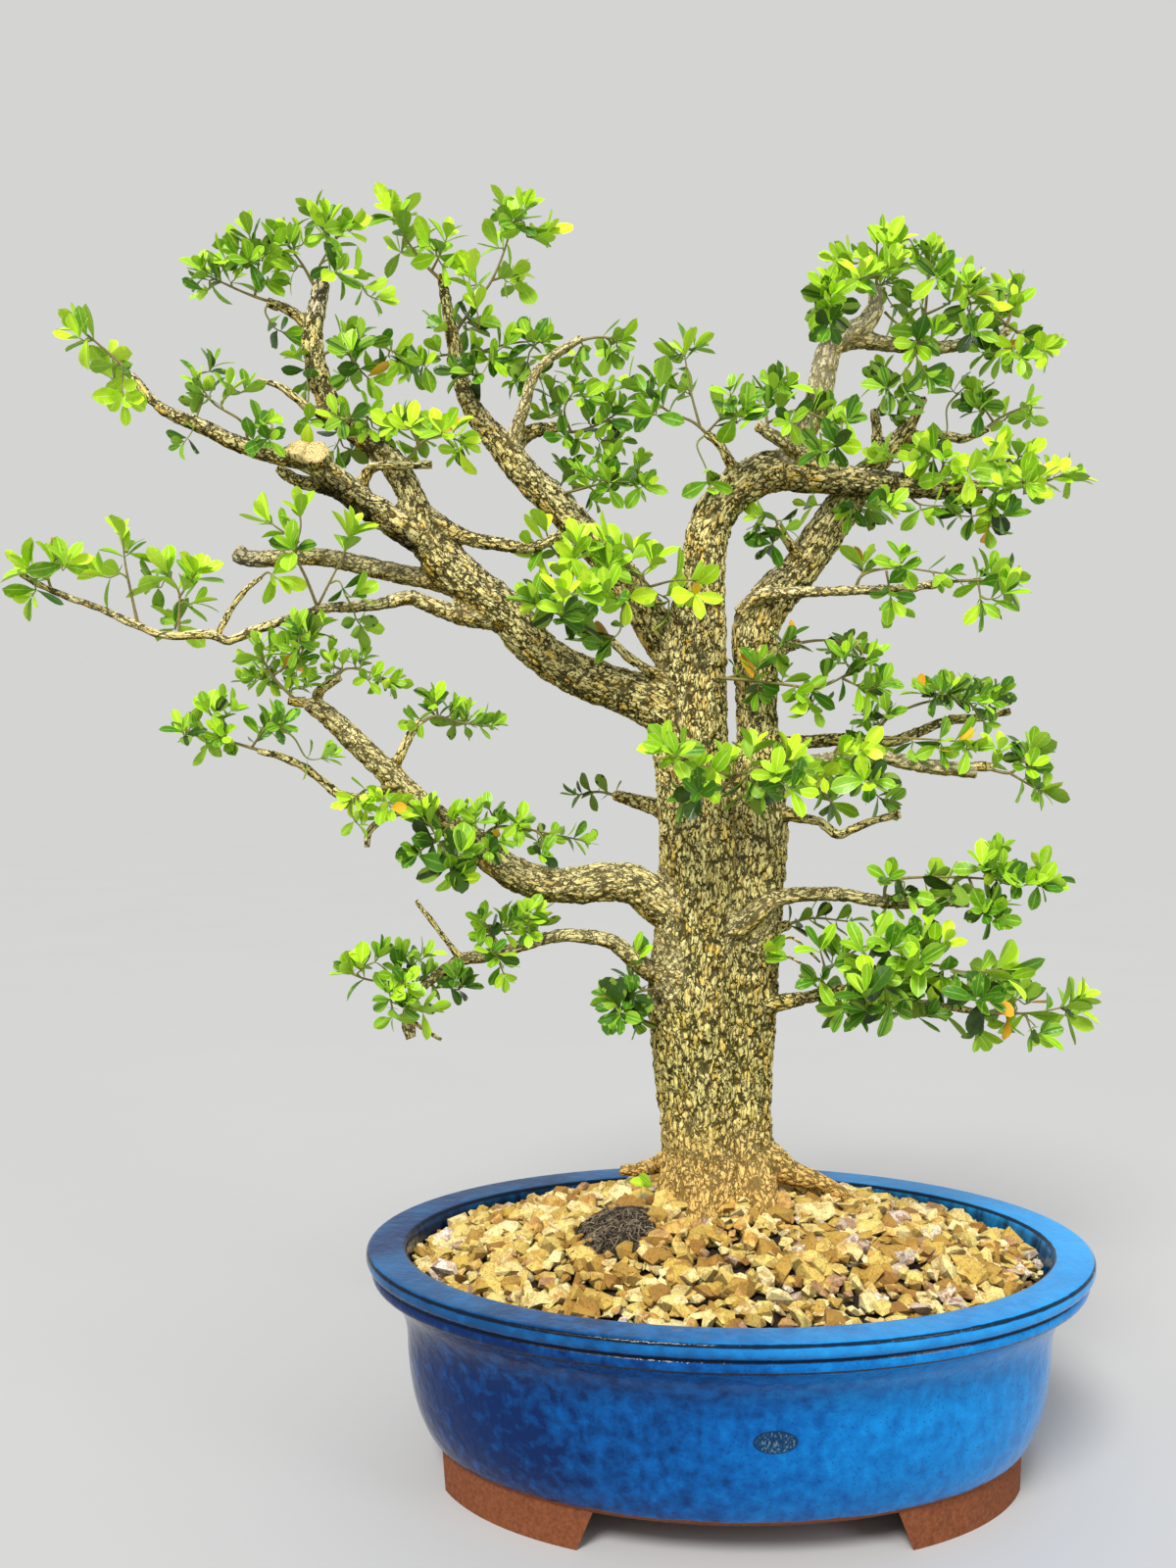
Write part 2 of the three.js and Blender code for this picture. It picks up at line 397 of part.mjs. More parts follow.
// Foliage. Each row is one leafy stem with its tone and its runs of points [x, z, y] as seen;
// the first run starts in the wood, the later ones start on the first.
const SPRAYS = {
  crown_left: ["green", [[-288, 731, -13], [-308, 738, -16], [-334, 750, -18]],
    [[-302, 736, -15], [-300, 756, -22], [-306, 780, -26]]],
  crown_top: ["young", [[-262, 738, -9], [-272, 756, -14], [-284, 776, -16]],
    [[-266, 746, -11], [-256, 764, -18], [-246, 780, -20]]],
  crown_middle: ["green", [[-264, 696, -12], [-248, 704, -20], [-228, 706, -26], [-212, 700, -28]],
    [[-246, 704, -21], [-236, 690, -30], [-226, 680, -32]]],
  peak_left: ["young", [[-184, 746, 36], [-196, 758, 34], [-206, 772, 32], [-212, 786, 32]],
    [[-190, 752, 35], [-184, 768, 28], [-178, 782, 24]]],
  peak_right: ["young", [[-177, 710, 36], [-166, 726, 40], [-152, 746, 42], [-143, 772, 44], [-139, 790, 44]],
    [[-152, 746, 42], [-134, 754, 46]], [[-168, 723, 39], [-160, 716, 26], [-162, 732, 20]]],
  arm_upper: ["green", [[-173, 690, 36], [-160, 700, 40], [-140, 706, 44], [-118, 708, 46]],
    [[-160, 700, 40], [-186, 698, 54], [-200, 692, 58]]],
  arm_tip: ["green", [[-100, 707, 16], [-84, 710, 12], [-68, 708, 8]]],
  arm_low: ["green", [[-114, 652, 38], [-100, 650, 42], [-84, 655, 44], [-70, 664, 44]],
    [[-102, 650, 41], [-108, 670, 28], [-100, 688, 20]]],
  arm_twig: ["green", [[-116, 608, 26], [-99, 613, 18], [-78, 616, 14], [-56, 614, 10]],
    [[-84, 616, 15], [-74, 636, 18]]],
  far_left_top: ["young", [[-377, 682, -44], [-390, 696, -46], [-406, 708, -48], [-418, 716, -48]],
    [[-386, 692, -45], [-390, 672, -52]]],
  scar_limb: ["green", [[-306, 640, -39], [-308, 656, -46], [-326, 668, -50], [-340, 684, -50]],
    [[-307, 650, -43], [-292, 668, -50]]],
  scar_twig: ["young", [[-206, 629, -36], [-196, 644, -42], [-176, 648, -44], [-160, 642, -44]],
    [[-196, 644, -42], [-206, 662, -44]]],
  tip_shoot: ["young", [[-431, 550, -44], [-434, 564, -46], [-430, 580, -48]],
    [[-433, 560, -45], [-446, 570, -48]]],
  tall_shoot: ["young", [[-376, 528, -42], [-379, 548, -44], [-386, 568, -46], [-388, 588, -48]]],
  short_shoot: ["young", [[-350, 521, -40], [-350, 542, -42], [-352, 562, -44]]],
  forked_shoot: ["young", [[-262, 538, -34], [-272, 560, -40], [-272, 582, -44], [-274, 600, -46]],
    [[-272, 580, -44], [-292, 596, -50]]],
  shelf_left: ["green", [[-276, 480, -40], [-288, 492, -44], [-296, 506, -48], [-304, 520, -50]],
    [[-290, 496, -45], [-274, 508, -54], [-264, 524, -58]]],
  shelf_middle: ["green", [[-252, 493, -31], [-242, 502, -24], [-226, 500, -18], [-212, 492, -16]],
    [[-244, 501, -26], [-256, 512, -16], [-254, 526, -14]]],
  low_left_tip: ["green", [[-292, 446, -45], [-308, 451, -48], [-326, 456, -50], [-346, 464, -52]],
    [[-304, 450, -47], [-296, 466, -56]], [[-324, 455, -50], [-326, 476, -46]]],
  low_left_rise: ["green", [[-199, 464, -26], [-188, 471, -20], [-172, 466, -16], [-156, 463, -12]],
    [[-184, 470, -19], [-176, 484, -18]]],
  low_left_bright: ["young", [[-216, 424, -36], [-230, 428, -46], [-242, 418, -52]],
    [[-224, 427, -42], [-218, 412, -56]]],
  low_left_old: ["old", [[-180, 398, -28], [-188, 392, -44], [-198, 384, -52]],
    [[-186, 393, -40], [-178, 370, -58]]],
  low_left_long: ["green", [[-160, 392, -24], [-148, 403, -18], [-126, 400, -12], [-96, 392, -7]],
    [[-148, 403, -18], [-154, 420, -24]]],
  lowest_tip: ["green", [[-196, 299, -30], [-212, 301, -38], [-230, 303, -44], [-248, 312, -46]],
    [[-212, 301, -38], [-208, 320, -46]], [[-210, 301, -37], [-218, 286, -48], [-204, 284, -52]]],
  lowest_middle: ["green", [[-150, 321, -23], [-152, 334, -28], [-134, 344, -34]],
    [[-151, 329, -26], [-147, 314, -40], [-140, 302, -44]]],
  heart_upper: ["young", [[-52, 534, 12], [-72, 546, -14], [-94, 556, -22], [-112, 574, -26], [-118, 590, -28]],
    [[-90, 554, -21], [-104, 540, -36], [-122, 536, -42]], [[-100, 562, -23], [-98, 582, -38]]],
  heart_front: ["young", [[-54, 538, 10], [-52, 552, -18], [-68, 568, -26], [-80, 586, -30]],
    [[-52, 552, -18], [-36, 558, -28], [-24, 556, -32]], [[-60, 560, -22], [-66, 540, -34]]],
  trunk_tuft: ["old", [[-46, 298, -4], [-62, 295, -14], [-76, 286, -22]], [[-58, 296, -12], [-66, 306, -4]]],
  top_twig: ["green", [[-13, 646, -12], [-24, 656, -18], [-40, 663, -22], [-56, 676, -24]],
    [[-20, 653, -16], [-26, 676, -18], [-30, 702, -20]]],
  top_stub: ["green", [[24, 648, -14], [22, 662, -10], [26, 680, -8]],
    [[23, 656, -12], [42, 668, -28], [62, 660, -32]]],
  pale_limb_top: ["young", [[91, 736, -12], [92, 752, -18], [90, 774, -20]],
    [[92, 748, -17], [76, 748, -22], [60, 742, -24]], [[92, 752, -18], [106, 774, -24]]],
  long_arm_middle: ["green", [[118, 705, -8], [122, 722, -14], [124, 742, -18], [126, 764, -20]],
    [[122, 724, -14], [140, 734, -18], [150, 746, -20]], [[120, 715, -12], [114, 692, -22]]],
  long_arm_tip: ["young", [[172, 713, -6], [178, 728, -10], [182, 742, -12]],
    [[174, 718, -8], [190, 708, -14], [200, 702, -16]]],
  inner_twig: ["green", [[90, 660, 31], [98, 674, 28], [95, 690, 26]], [[94, 667, 29], [116, 680, 38]]],
  inner_right: ["green", [[158, 650, 31], [172, 660, 34], [188, 667, 36]], [[166, 656, 33], [152, 680, 28]]],
  level_arm_bright: ["young", [[128, 616, 6], [134, 630, -4], [122, 642, -8]],
    [[133, 628, -3], [152, 633, -10], [168, 636, -14]]],
  level_arm_tip: ["young", [[156, 614, 8], [176, 618, 12], [196, 618, 14], [212, 625, 16]],
    [[178, 618, 12], [184, 640, 6]], [[168, 617, 10], [164, 598, 0]]],
  second_arm: ["green", [[78, 550, -12], [86, 562, -18], [106, 564, -22], [146, 566, -24]],
    [[100, 564, -21], [102, 542, -30]]],
  second_arm_tip: ["green", [[136, 555, -19], [156, 556, -22], [174, 556, -24], [188, 560, -24]],
    [[156, 556, -22], [160, 538, -28]]],
  front_twig: ["green", [[-8, 494, -10], [8, 493, -18], [34, 490, -20], [54, 486, -22], [72, 496, -24], [90, 512, -26]],
    [[14, 492, -19], [20, 504, -24]], [[70, 494, -24], [84, 486, -30]]],
  third_arm: ["green", [[92, 455, 18], [98, 468, 12], [120, 478, 10], [144, 482, 10], [166, 482, 10]],
    [[148, 482, 10], [162, 460, 0]]],
  fourth_arm: ["young", [[62, 443, -12], [74, 456, -20], [108, 457, -26], [148, 456, -32]],
    [[70, 452, -18], [58, 430, -30]]],
  fourth_arm_old: ["old", [[58, 442, -10], [54, 428, -2], [64, 414, 4]],
    [[55, 431, -3], [84, 426, 6], [96, 416, 8]]],
  fourth_arm_tip: ["green", [[158, 438, -23], [176, 434, -26], [186, 444, -30], [192, 454, -32]],
    [[176, 434, -26], [200, 420, -32]]],
  trunk_front: ["young", [[-14, 422, -8], [0, 430, -42], [-22, 442, -56], [-42, 450, -64]],
    [[0, 430, -42], [18, 438, -54], [38, 444, -64]], [[-10, 436, -49], [-18, 424, -66]]],
  fifth_arm: ["green", [[96, 353, -24], [102, 366, -28], [140, 370, -30], [172, 370, -32], [206, 366, -32]],
    [[160, 370, -31], [170, 386, -34]]],
  mass_left: ["green", [[54, 294, -21], [62, 310, -34], [84, 326, -42], [108, 334, -46]],
    [[60, 307, -32], [54, 326, -38]], [[82, 325, -41], [96, 304, -56]]],
  mass_right: ["young", [[114, 301, -34], [128, 313, -40], [150, 310, -44], [172, 314, -46]],
    [[126, 312, -39], [136, 328, -42]]],
  mass_low: ["old", [[74, 297, -26], [78, 282, -34], [98, 280, -36], [124, 276, -38]]],
  mass_tip: ["green", [[148, 284, -20], [166, 282, -22], [190, 282, -24], [214, 287, -26]],
    [[186, 282, -24], [192, 268, -30]]],
  back_right_low: ["old", [[30, 336, 62], [50, 342, 78], [74, 340, 92]]],
  back_left_low: ["old", [[-68, 418, 64], [-84, 424, 80], [-104, 420, 92]]],
  back_right: ["old", [[36, 515, 57], [56, 520, 76], [80, 518, 90]]],
  back_left: ["old", [[-101, 591, 56], [-112, 608, 72], [-104, 628, 84]]],
};

/** Leaves out every other point of a long limb, but never its ends. */
function coarser(points) {
  const last = points.length - 1;
  return points.filter((point, k) => last < 4 || k === 0 || k === last || (last - k) % 2 === 0);
}

/** All limbs of the tree, each as its own solid. */
function limbs(grow) {
  return [
    ...TRUNK.map((points) => limb(points, { sides: 9, grow, swell: 0.045 })),
    ...ROOTS.map((points) => limb(points, { sides: 5, grow })),
    ...MAIN_LIMBS.map((points) => limb(coarser(points), { sides: 6, grow, swell: 0.04 })),
    ...SIDE_LIMBS.map((points) => limb(coarser(points), { sides: 4, grow })),
  ];
}

/**
 * One obovate blade: a five-cornered outline with a pointed foot, widest beyond the middle,
 * a blunt end, a thicker middle and a drooping tip. margin widens it all round.
 */
function leaf(foot, along, face, size, margin = 0) {
  const side = new THREE.Vector3().crossVectors(along, face).normalize();
  const up = new THREE.Vector3().crossVectors(side, along);
  const geometry = new THREE.SphereGeometry(1, 5, 2);
  const position = geometry.attributes.position;
  for (let i = 0; i < position.count; i += 1) {
    const [x, y, z] = [position.getX(i), position.getY(i), position.getZ(i)];
    let reach = 0.45;
    let half = 0;
    let lift = Math.sign(y) * (LEAF_THICKNESS / 2 + margin);
    if (Math.abs(y) < 0.5) {
      reach = x < -0.9 ? 0 : x < 0 ? 0.56 : 1;
      half = x < -0.9 ? 0 : Math.sign(z) * (x < 0 ? 1 : 0.6);
      lift = 0;
    }
    const distance = reach * (LEAF_LENGTH * size + margin);
    const point = foot.clone();
    point.addScaledVector(along, distance);
    point.addScaledVector(side, half * (LEAF_WIDTH * size * 0.5 + margin));
    point.addScaledVector(up, lift - distance * distance * 0.007);
    position.setXYZ(i, point.x, point.y, point.z);
  }
  return solid(geometry);
}

/** Gives the points of a twig their radius, thinner towards the tip. */
function tapered(points, run) {
  const radius = run === 0 ? TWIG_RADIUS : TWIG_RADIUS * 0.88;
  return points.map((point, k) => [...point, radius * (1 - (0.25 * k) / (points.length - 1))]);
}

/** Places where leaves sit on a run of twig: spaced along it, then close to its tip. */
function leafNodes(points, run) {
  const rings = ringsAlong(tapered(points, run));
  const spans = rings.slice(1).map((ring, k) => ring.centre.distanceTo(rings[k].centre));
  const length = spans.reduce((sum, span) => sum + span, 0);
  const nodes = [];
  const addNode = (distance, lean) => {
    let k = 0;
    let left = distance;
    while (k < spans.length - 1 && left > spans[k]) {
      left -= spans[k];
      k += 1;
    }
    const at = rings[k].centre.clone().lerp(rings[k + 1].centre, left / spans[k]);
    const along = rings[k + 1].centre.clone().sub(rings[k].centre).normalize();
    nodes.push({ at, along, across: rings[k].across, side: rings[k].side, lean });
  };
  for (let distance = length - LEAF_SPACING; distance > FIRST_LEAF; distance -= LEAF_SPACING) {
    addNode(distance, 0.95 + jitter(0.15));
  }
  addNode(length - 6, 1 + jitter(0.1));
  if (run === 0) {
    addNode(length - 2, 0.5 + jitter(0.2));
  }
  return nodes;
}

/** True if a solid crosses none of the obstacles. */
function isClear(body, obstacles) {
  const box = boxOf(body);
  return !obstacles.some((o) => o.box.intersectsBox(box) && !o.body.intersect(body).isEmpty());
}

/** Direction of a leaf that leaves its twig at an angle round the twig. */
function leafAim(node, turn) {
  const aim = node.along.clone().multiplyScalar(Math.cos(node.lean));
  aim.addScaledVector(node.across, Math.sin(node.lean) * Math.cos(turn));
  aim.addScaledVector(node.side, Math.sin(node.lean) * Math.sin(turn));
  return aim.normalize();
}

/** Grows the leaves of one spray in crossed pairs, where they stay clear of every obstacle. */
function growLeaves(runs, obstacles) {
  const leaves = [];
  const owned = [];
  const tryLeaf = (node, turn, size) => {
    const aim = leafAim(node, turn);
    const face = new THREE.Vector3(jitter(0.5), -0.55 + jitter(0.5), 0.8 + jitter(0.3));
    const foot = node.at.clone().addScaledVector(aim, 0.3);
    const clearFoot = foot.clone().addScaledVector(aim, TWIG_RADIUS + 2);
    const blade = leaf(foot, aim, face, size);
    const swollen = leaf(clearFoot, aim, face, size * 0.9, GAP);
    if (![blade, swollen].every((body) => isClear(body, obstacles)) || !isClear(swollen, owned)) {
      return false;
    }
    leaves.push(blade);
    owned.push({ box: boxOf(swollen), body: swollen });
    return true;
  };
  runs.forEach((points, run) => {
    leafNodes(points, run).forEach((node, k, nodes) => {
      const quarter = Math.PI / 2;
      const first = quarter / 2 + (k % 2) * quarter;
      const isEnd = run === 0 && k === nodes.length - 1;
      const pair = isEnd ? [first] : [first, first + 2 * quarter];
      pair.forEach((turn) => {
        const size = 0.86 + random() * 0.34;
        return tryLeaf(node, turn, size) || tryLeaf(node, turn + quarter, size);
      });
    });
  });
  return leaves;
}

/** Twigs of a spray, each as its own solid. */
function twigs(runs, grow = 0) {
  return runs.map((points, run) => limb(tapered(points, run), { sides: 4, grow }));
}

/** Builds every spray clear of the wood and of one another. */
function sprays(clearWood, clearLimbs) {
  const twigObstacles = Object.fromEntries(Object.entries(SPRAYS).map(([name, [, ...runs]]) => [
    name, twigs(runs, GAP).map((body) => ({ box: boxOf(body), body })),
  ]));
  const grown = [];
  const bodies = {};
  Object.entries(SPRAYS).forEach(([name, [, ...runs]]) => {
    const others = Object.keys(twigObstacles).filter((other) => other !== name);
    const obstacles = [...clearLimbs, ...grown, ...others.flatMap((other) => twigObstacles[other])];
    const leaves = growLeaves(runs, obstacles);
    const body = largest(join([...twigs(runs), ...leaves]).subtract(clearWood)).simplify(0.08);
    grown.push(...leaves.map((one) => ({ box: boxOf(one).expandByScalar(GAP), body: one })));
    bodies[name] = body;
  });
  return bodies;
}

/** Adds one named piece to the group. */
function addPiece(group, name, body, color, roughness) {
  const material = new THREE.MeshStandardMaterial({ color, roughness, metalness: 0 });
  const mesh = new THREE.Mesh(geometryOf(body), material);
  mesh.name = name;
  group.add(mesh);
}

/** The whole object, set with its middle over the origin and its feet on z = 0. */
function bonsai() {
  const wood = largest(join(limbs(0))).simplify(0.12);
  const clearParts = limbs(GAP);
  const clearWood = join(clearParts);
  const clearLimbs = clearParts.map((body) => ({ box: boxOf(body), body }));
  const shell = pot();
  const clearClump = clump(GAP);
  const group = new THREE.Group();
  addPiece(group, "pot", shell, 0x1f5fae, 0.22);
  addPiece(group, "soil", largest(soil().subtract(join([clearWood, clearClump]))).simplify(0.12), 0x4a3a2c, 0.95);
  const cover = gravel().subtract(join([clearWood, clearClump]));
  addPiece(group, "gravel", largest(cover).simplify(0.12), 0xcfa765, 0.85);
  addPiece(group, "fibrous_clump", largest(clump(0).subtract(clearWood)), 0x2e2622, 0.95);
  addPiece(group, "trunk_and_branches", wood, 0x9c8a62, 0.9);
  const foliage = sprays(clearWood, clearLimbs);
  Object.entries(foliage).forEach(([name, body]) => {
    addPiece(group, `spray_${name}`, body, LEAF_TONES[SPRAYS[name][0]], 0.42);
  });
  const bounds = new THREE.Box3().setFromObject(group);
  const middle = bounds.getCenter(new THREE.Vector3());
  group.children.forEach((mesh) => mesh.position.set(-middle.x, -middle.y, -bounds.min.z));
  return group;
}

export default bonsai();
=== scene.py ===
"""Looks of a boxwood bonsai in an oval glazed pot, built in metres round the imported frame."""

import itertools
import logging
import math
import random
from dataclasses import dataclass, field
from enum import Enum
from typing import Callable, Union

import bmesh
import bpy
import numpy as np
from mathutils import Matrix, Vector, noise
from mathutils.kdtree import KDTree


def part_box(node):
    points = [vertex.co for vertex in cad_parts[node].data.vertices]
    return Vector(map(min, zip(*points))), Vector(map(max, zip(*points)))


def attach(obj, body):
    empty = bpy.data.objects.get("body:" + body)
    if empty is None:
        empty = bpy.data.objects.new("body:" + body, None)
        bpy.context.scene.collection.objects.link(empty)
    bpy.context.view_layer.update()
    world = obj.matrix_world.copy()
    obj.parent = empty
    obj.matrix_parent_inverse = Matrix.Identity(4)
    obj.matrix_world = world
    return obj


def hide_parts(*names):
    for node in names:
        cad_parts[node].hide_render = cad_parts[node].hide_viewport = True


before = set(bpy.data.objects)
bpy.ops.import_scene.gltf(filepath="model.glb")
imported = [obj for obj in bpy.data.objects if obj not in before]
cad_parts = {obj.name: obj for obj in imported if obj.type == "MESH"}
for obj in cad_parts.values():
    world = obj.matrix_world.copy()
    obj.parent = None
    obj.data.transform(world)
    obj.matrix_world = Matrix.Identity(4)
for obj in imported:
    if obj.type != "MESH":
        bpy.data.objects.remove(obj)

log = logging.getLogger("bonsai")

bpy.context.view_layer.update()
MM = 0.001
UP = Vector((0, 0, 1))

# Points of limbs and stems are written as seen from the front, in millimetres from ORIGIN, which
# is on the floor under the trunk: x and z where the line of sight from EYE crosses the plane
# y = 0, then the depth y. The pot's middle is a little to the left of the trunk, at POT_X.
EYE = Vector((-91, -838, 427))
POT_X = -3.5

Point = tuple[float, ...]
Number = Union[float, "Value"]


def seen(x: float, z: float, y: float) -> Vector:
    """Gives the true place of a point that is written as seen from the front."""
    reach = (y - EYE.y) / -EYE.y
    return Vector((EYE.x + (x - EYE.x) * reach, y, EYE.z + (z - EYE.z) * reach))


def trunk_foot() -> Vector:
    """Gives the point on the floor under the trunk in the row frame, in metres."""
    low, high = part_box("pot")
    return Vector(((low.x + high.x) / 2 - POT_X * MM, (low.y + high.y) / 2, 0))


ORIGIN = trunk_foot()


def tint(red: int, green: int, blue: int) -> tuple[float, float, float, float]:
    """Turns a screen colour of 0 to 255 into a linear one."""
    return (*(((c / 255 + 0.055) / 1.055) ** 2.4 if c > 10 else c / 3294 for c in (red, green, blue)), 1)


def smooth_step(low: float, high: float, value: float) -> float:
    """Rises smoothly from 0 at low to 1 at high."""
    t = min(max((value - low) / (high - low), 0), 1)
    return t * t * (3 - 2 * t)


# Shaders


class Value:
    """A number that varies over a surface; each operation on it adds a Math node."""

    def __init__(self, graph: "Graph", socket: bpy.types.NodeSocket) -> None:
        """Wraps an output socket of a graph."""
        self.graph = graph
        self.socket = socket

    def _math(self, operation: str, *terms: Number) -> "Value":
        """Adds a Math node.

        Args:
            operation: The node's operation.
            terms: Its inputs in order.

        Returns:
            The node's output.
        """
        made = self.graph.node("ShaderNodeMath", {"operation": operation}, dict(enumerate(terms)))
        return Value(self.graph, made.outputs[0])

    def __add__(self, other: Number) -> "Value":
        """Adds."""
        return self._math("ADD", self, other)

    def __sub__(self, other: Number) -> "Value":
        """Subtracts."""
        return self._math("SUBTRACT", self, other)

    def __rsub__(self, other: Number) -> "Value":
        """Subtracts from a number."""
        return self._math("SUBTRACT", other, self)

    def __mul__(self, other: Number) -> "Value":
        """Multiplies."""
        return self._math("MULTIPLY", self, other)

    def __abs__(self) -> "Value":
        """Drops the sign."""
        return self._math("ABSOLUTE", self)

    __radd__ = __add__
    __rmul__ = __mul__

    def sine(self) -> "Value":
        """Gives the sine."""
        return self._math("SINE", self)

    def most(self, other: Number) -> "Value":
        """Gives the larger of two values."""
        return self._math("MAXIMUM", self, other)

    def rise(self, low: float, high: float) -> "Value":
        """Rises smoothly from 0 to 1 between two values.

        Args:
            low: The value that gives 0; it may be the larger one.
            high: The value that gives 1.

        Returns:
            The risen value.
        """
        settings = {"interpolation_type": "SMOOTHSTEP"}
        inputs = {"Value": self, "From Min": min(low, high), "From Max": max(low, high)}
        made = Value(self.graph, self.graph.node("ShaderNodeMapRange", settings, inputs).outputs[0])
        return made if low < high else 1 - made


Source = Union[bpy.types.NodeSocket, Value, float, tuple]


class Graph:
    """The node tree of one material."""

    def __init__(self, name: str) -> None:
        """Makes an empty material.

        Args:
            name: The material's name.
        """
        self.material = bpy.data.materials.new(name)
        self.material.use_nodes = True
        self.tree = self.material.node_tree
        self.tree.nodes.clear()

    def node(self, kind: str, settings: dict, inputs: dict) -> bpy.types.Node:
        """Adds a node.

        Args:
            kind: The node's type.
            settings: Its properties, set first; stops are the positions and colours of its ramp.
            inputs: Values or links of its sockets, by name or number.

        Returns:
            The new node.
        """
        made = self.tree.nodes.new(kind)
        for key, value in settings.items():
            if key == "stops":
                while len(made.color_ramp.elements) < len(value):
                    made.color_ramp.elements.new(1)
                for stop, (position, color) in zip(made.color_ramp.elements, value):
                    stop.position = position
                    stop.color = color
            else:
                setattr(made, key, value)
        for key, source in inputs.items():
            source = source.socket if isinstance(source, Value) else source
            if isinstance(source, bpy.types.NodeSocket):
                self.tree.links.new(source, made.inputs[key])
            else:
                made.inputs[key].default_value = source
        return made

    def value(self, name: str) -> Value:
        """Reads a number that the mesh keeps at its vertices."""
        return Value(self, self.node("ShaderNodeAttribute", {"attribute_name": name}, {}).outputs["Fac"])

    def vector(self, name: str) -> bpy.types.NodeSocket:
        """Reads a vector that the mesh keeps at its vertices."""
        return self.node("ShaderNodeAttribute", {"attribute_name": name}, {}).outputs["Vector"]

    def place(self) -> bpy.types.NodeSocket:
        """Gives the place on the object in metres."""
        return self.node("ShaderNodeTexCoord", {}, {}).outputs["Object"]

    def axes(self, vector: bpy.types.NodeSocket) -> list[Value]:
        """Splits a vector into its three numbers."""
        made = self.node("ShaderNodeSeparateXYZ", {}, {0: vector})
        return [Value(self, socket) for socket in made.outputs]

    def facing_up(self) -> Value:
        """Gives the upward part of the surface's direction, from -1 to 1."""
        return self.axes(self.node("ShaderNodeNewGeometry", {}, {}).outputs["Normal"])[2]

    def near(self, spot: Point, full: float, none: float) -> Value:
        """Gives 1 round a place on the tree and 0 away from it.

        Args:
            spot: The place's x, z and y as seen, in millimetres.
            full: The distance up to which it is 1, in metres.
            none: The distance from which it is 0.

        Returns:
            The mask.
        """
        centre = ORIGIN + seen(*spot) * MM
        ragged = self.warped(self.place(), 90, full * 0.9)
        made = self.node("ShaderNodeVectorMath", {"operation": "DISTANCE"}, {0: ragged, 1: tuple(centre)})
        return Value(self, made.outputs["Value"]).rise(none, full)

    def scaled(self, vector: bpy.types.NodeSocket, size: Point) -> bpy.types.NodeSocket:
        """Divides a vector by a size along each axis."""
        inputs = {0: vector, 1: tuple(1 / s for s in size)}
        return self.node("ShaderNodeVectorMath", {"operation": "MULTIPLY"}, inputs).outputs[0]

    def warped(self, vector: bpy.types.NodeSocket, scale: float, push: float) -> bpy.types.NodeSocket:
        """Bends a vector with noise.

        Args:
            vector: The vector.
            scale: How fine the noise is.
            push: How far it bends.

        Returns:
            The bent vector.
        """
        soft = {"Vector": vector, "Scale": scale, "Detail": 2.0}
        bend = self.node("ShaderNodeTexNoise", {}, soft).outputs["Color"]
        centred = self.node("ShaderNodeVectorMath", {"operation": "SUBTRACT"}, {0: bend, 1: (0.5, 0.5, 0.5)})
        inputs = {0: centred.outputs[0], 1: (push, push, push), 2: vector}
        return self.node("ShaderNodeVectorMath", {"operation": "MULTIPLY_ADD"}, inputs).outputs[0]

    def cloud(
        self, vector: bpy.types.NodeSocket, scale: float, detail: float = 4, rough: float = 0.55
    ) -> Value:
        """Gives soft noise from 0 to 1.

        Args:
            vector: Where it is read.
            scale: How fine it is.
            detail: How many finer layers it has.
            rough: How strong the finer layers are.

        Returns:
            The noise.
        """
        inputs = {"Vector": vector, "Scale": scale, "Detail": float(detail), "Roughness": rough}
        return Value(self, self.node("ShaderNodeTexNoise", {}, inputs).outputs["Fac"])

    def cells(self, vector: bpy.types.NodeSocket, scale: float) -> tuple[Value, Value]:
        """Gives irregular cells.

        Args:
            vector: Where they are read.
            scale: How fine they are.

        Returns:
            The distance to the cell's edge, and a random number for each cell.
        """
        inputs = {"Vector": vector, "Scale": scale}
        edge = self.node("ShaderNodeTexVoronoi", {"feature": "DISTANCE_TO_EDGE"}, inputs).outputs["Distance"]
        color = self.node("ShaderNodeTexVoronoi", {"feature": "F1"}, inputs).outputs["Color"]
        return Value(self, edge), self.axes(color)[0]

    def ramp(self, value: Value, *stops: tuple[float, tuple]) -> bpy.types.NodeSocket:
        """Turns a number into a colour by stops of position and colour."""
        return self.node("ShaderNodeValToRGB", {"stops": stops}, {0: value}).outputs["Color"]

    def mix(self, mask: Number, low: Source, high: Source) -> bpy.types.NodeSocket:
        """Goes from the colour low to the colour high as mask goes from 0 to 1."""
        return self.node("ShaderNodeMix", {"data_type": "RGBA"}, {0: mask, 6: low, 7: high}).outputs[2]

    def bump(self, height: Value, strength: float, depth: float) -> bpy.types.NodeSocket:
        """Gives the direction of a surface with small relief of depth metres."""
        inputs = {"Height": height, "Strength": strength, "Distance": depth}
        return self.node("ShaderNodeBump", {}, inputs).outputs["Normal"]

    def finish(self, inputs: dict) -> bpy.types.Material:
        """Ends the graph in a Principled shader.

        Args:
            inputs: Values or links of the shader's sockets.

        Returns:
            The material.
        """
        shader = self.node("ShaderNodeBsdfPrincipled", {}, inputs)
        self.node("ShaderNodeOutputMaterial", {}, {"Surface": shader.outputs[0]})
        return self.material


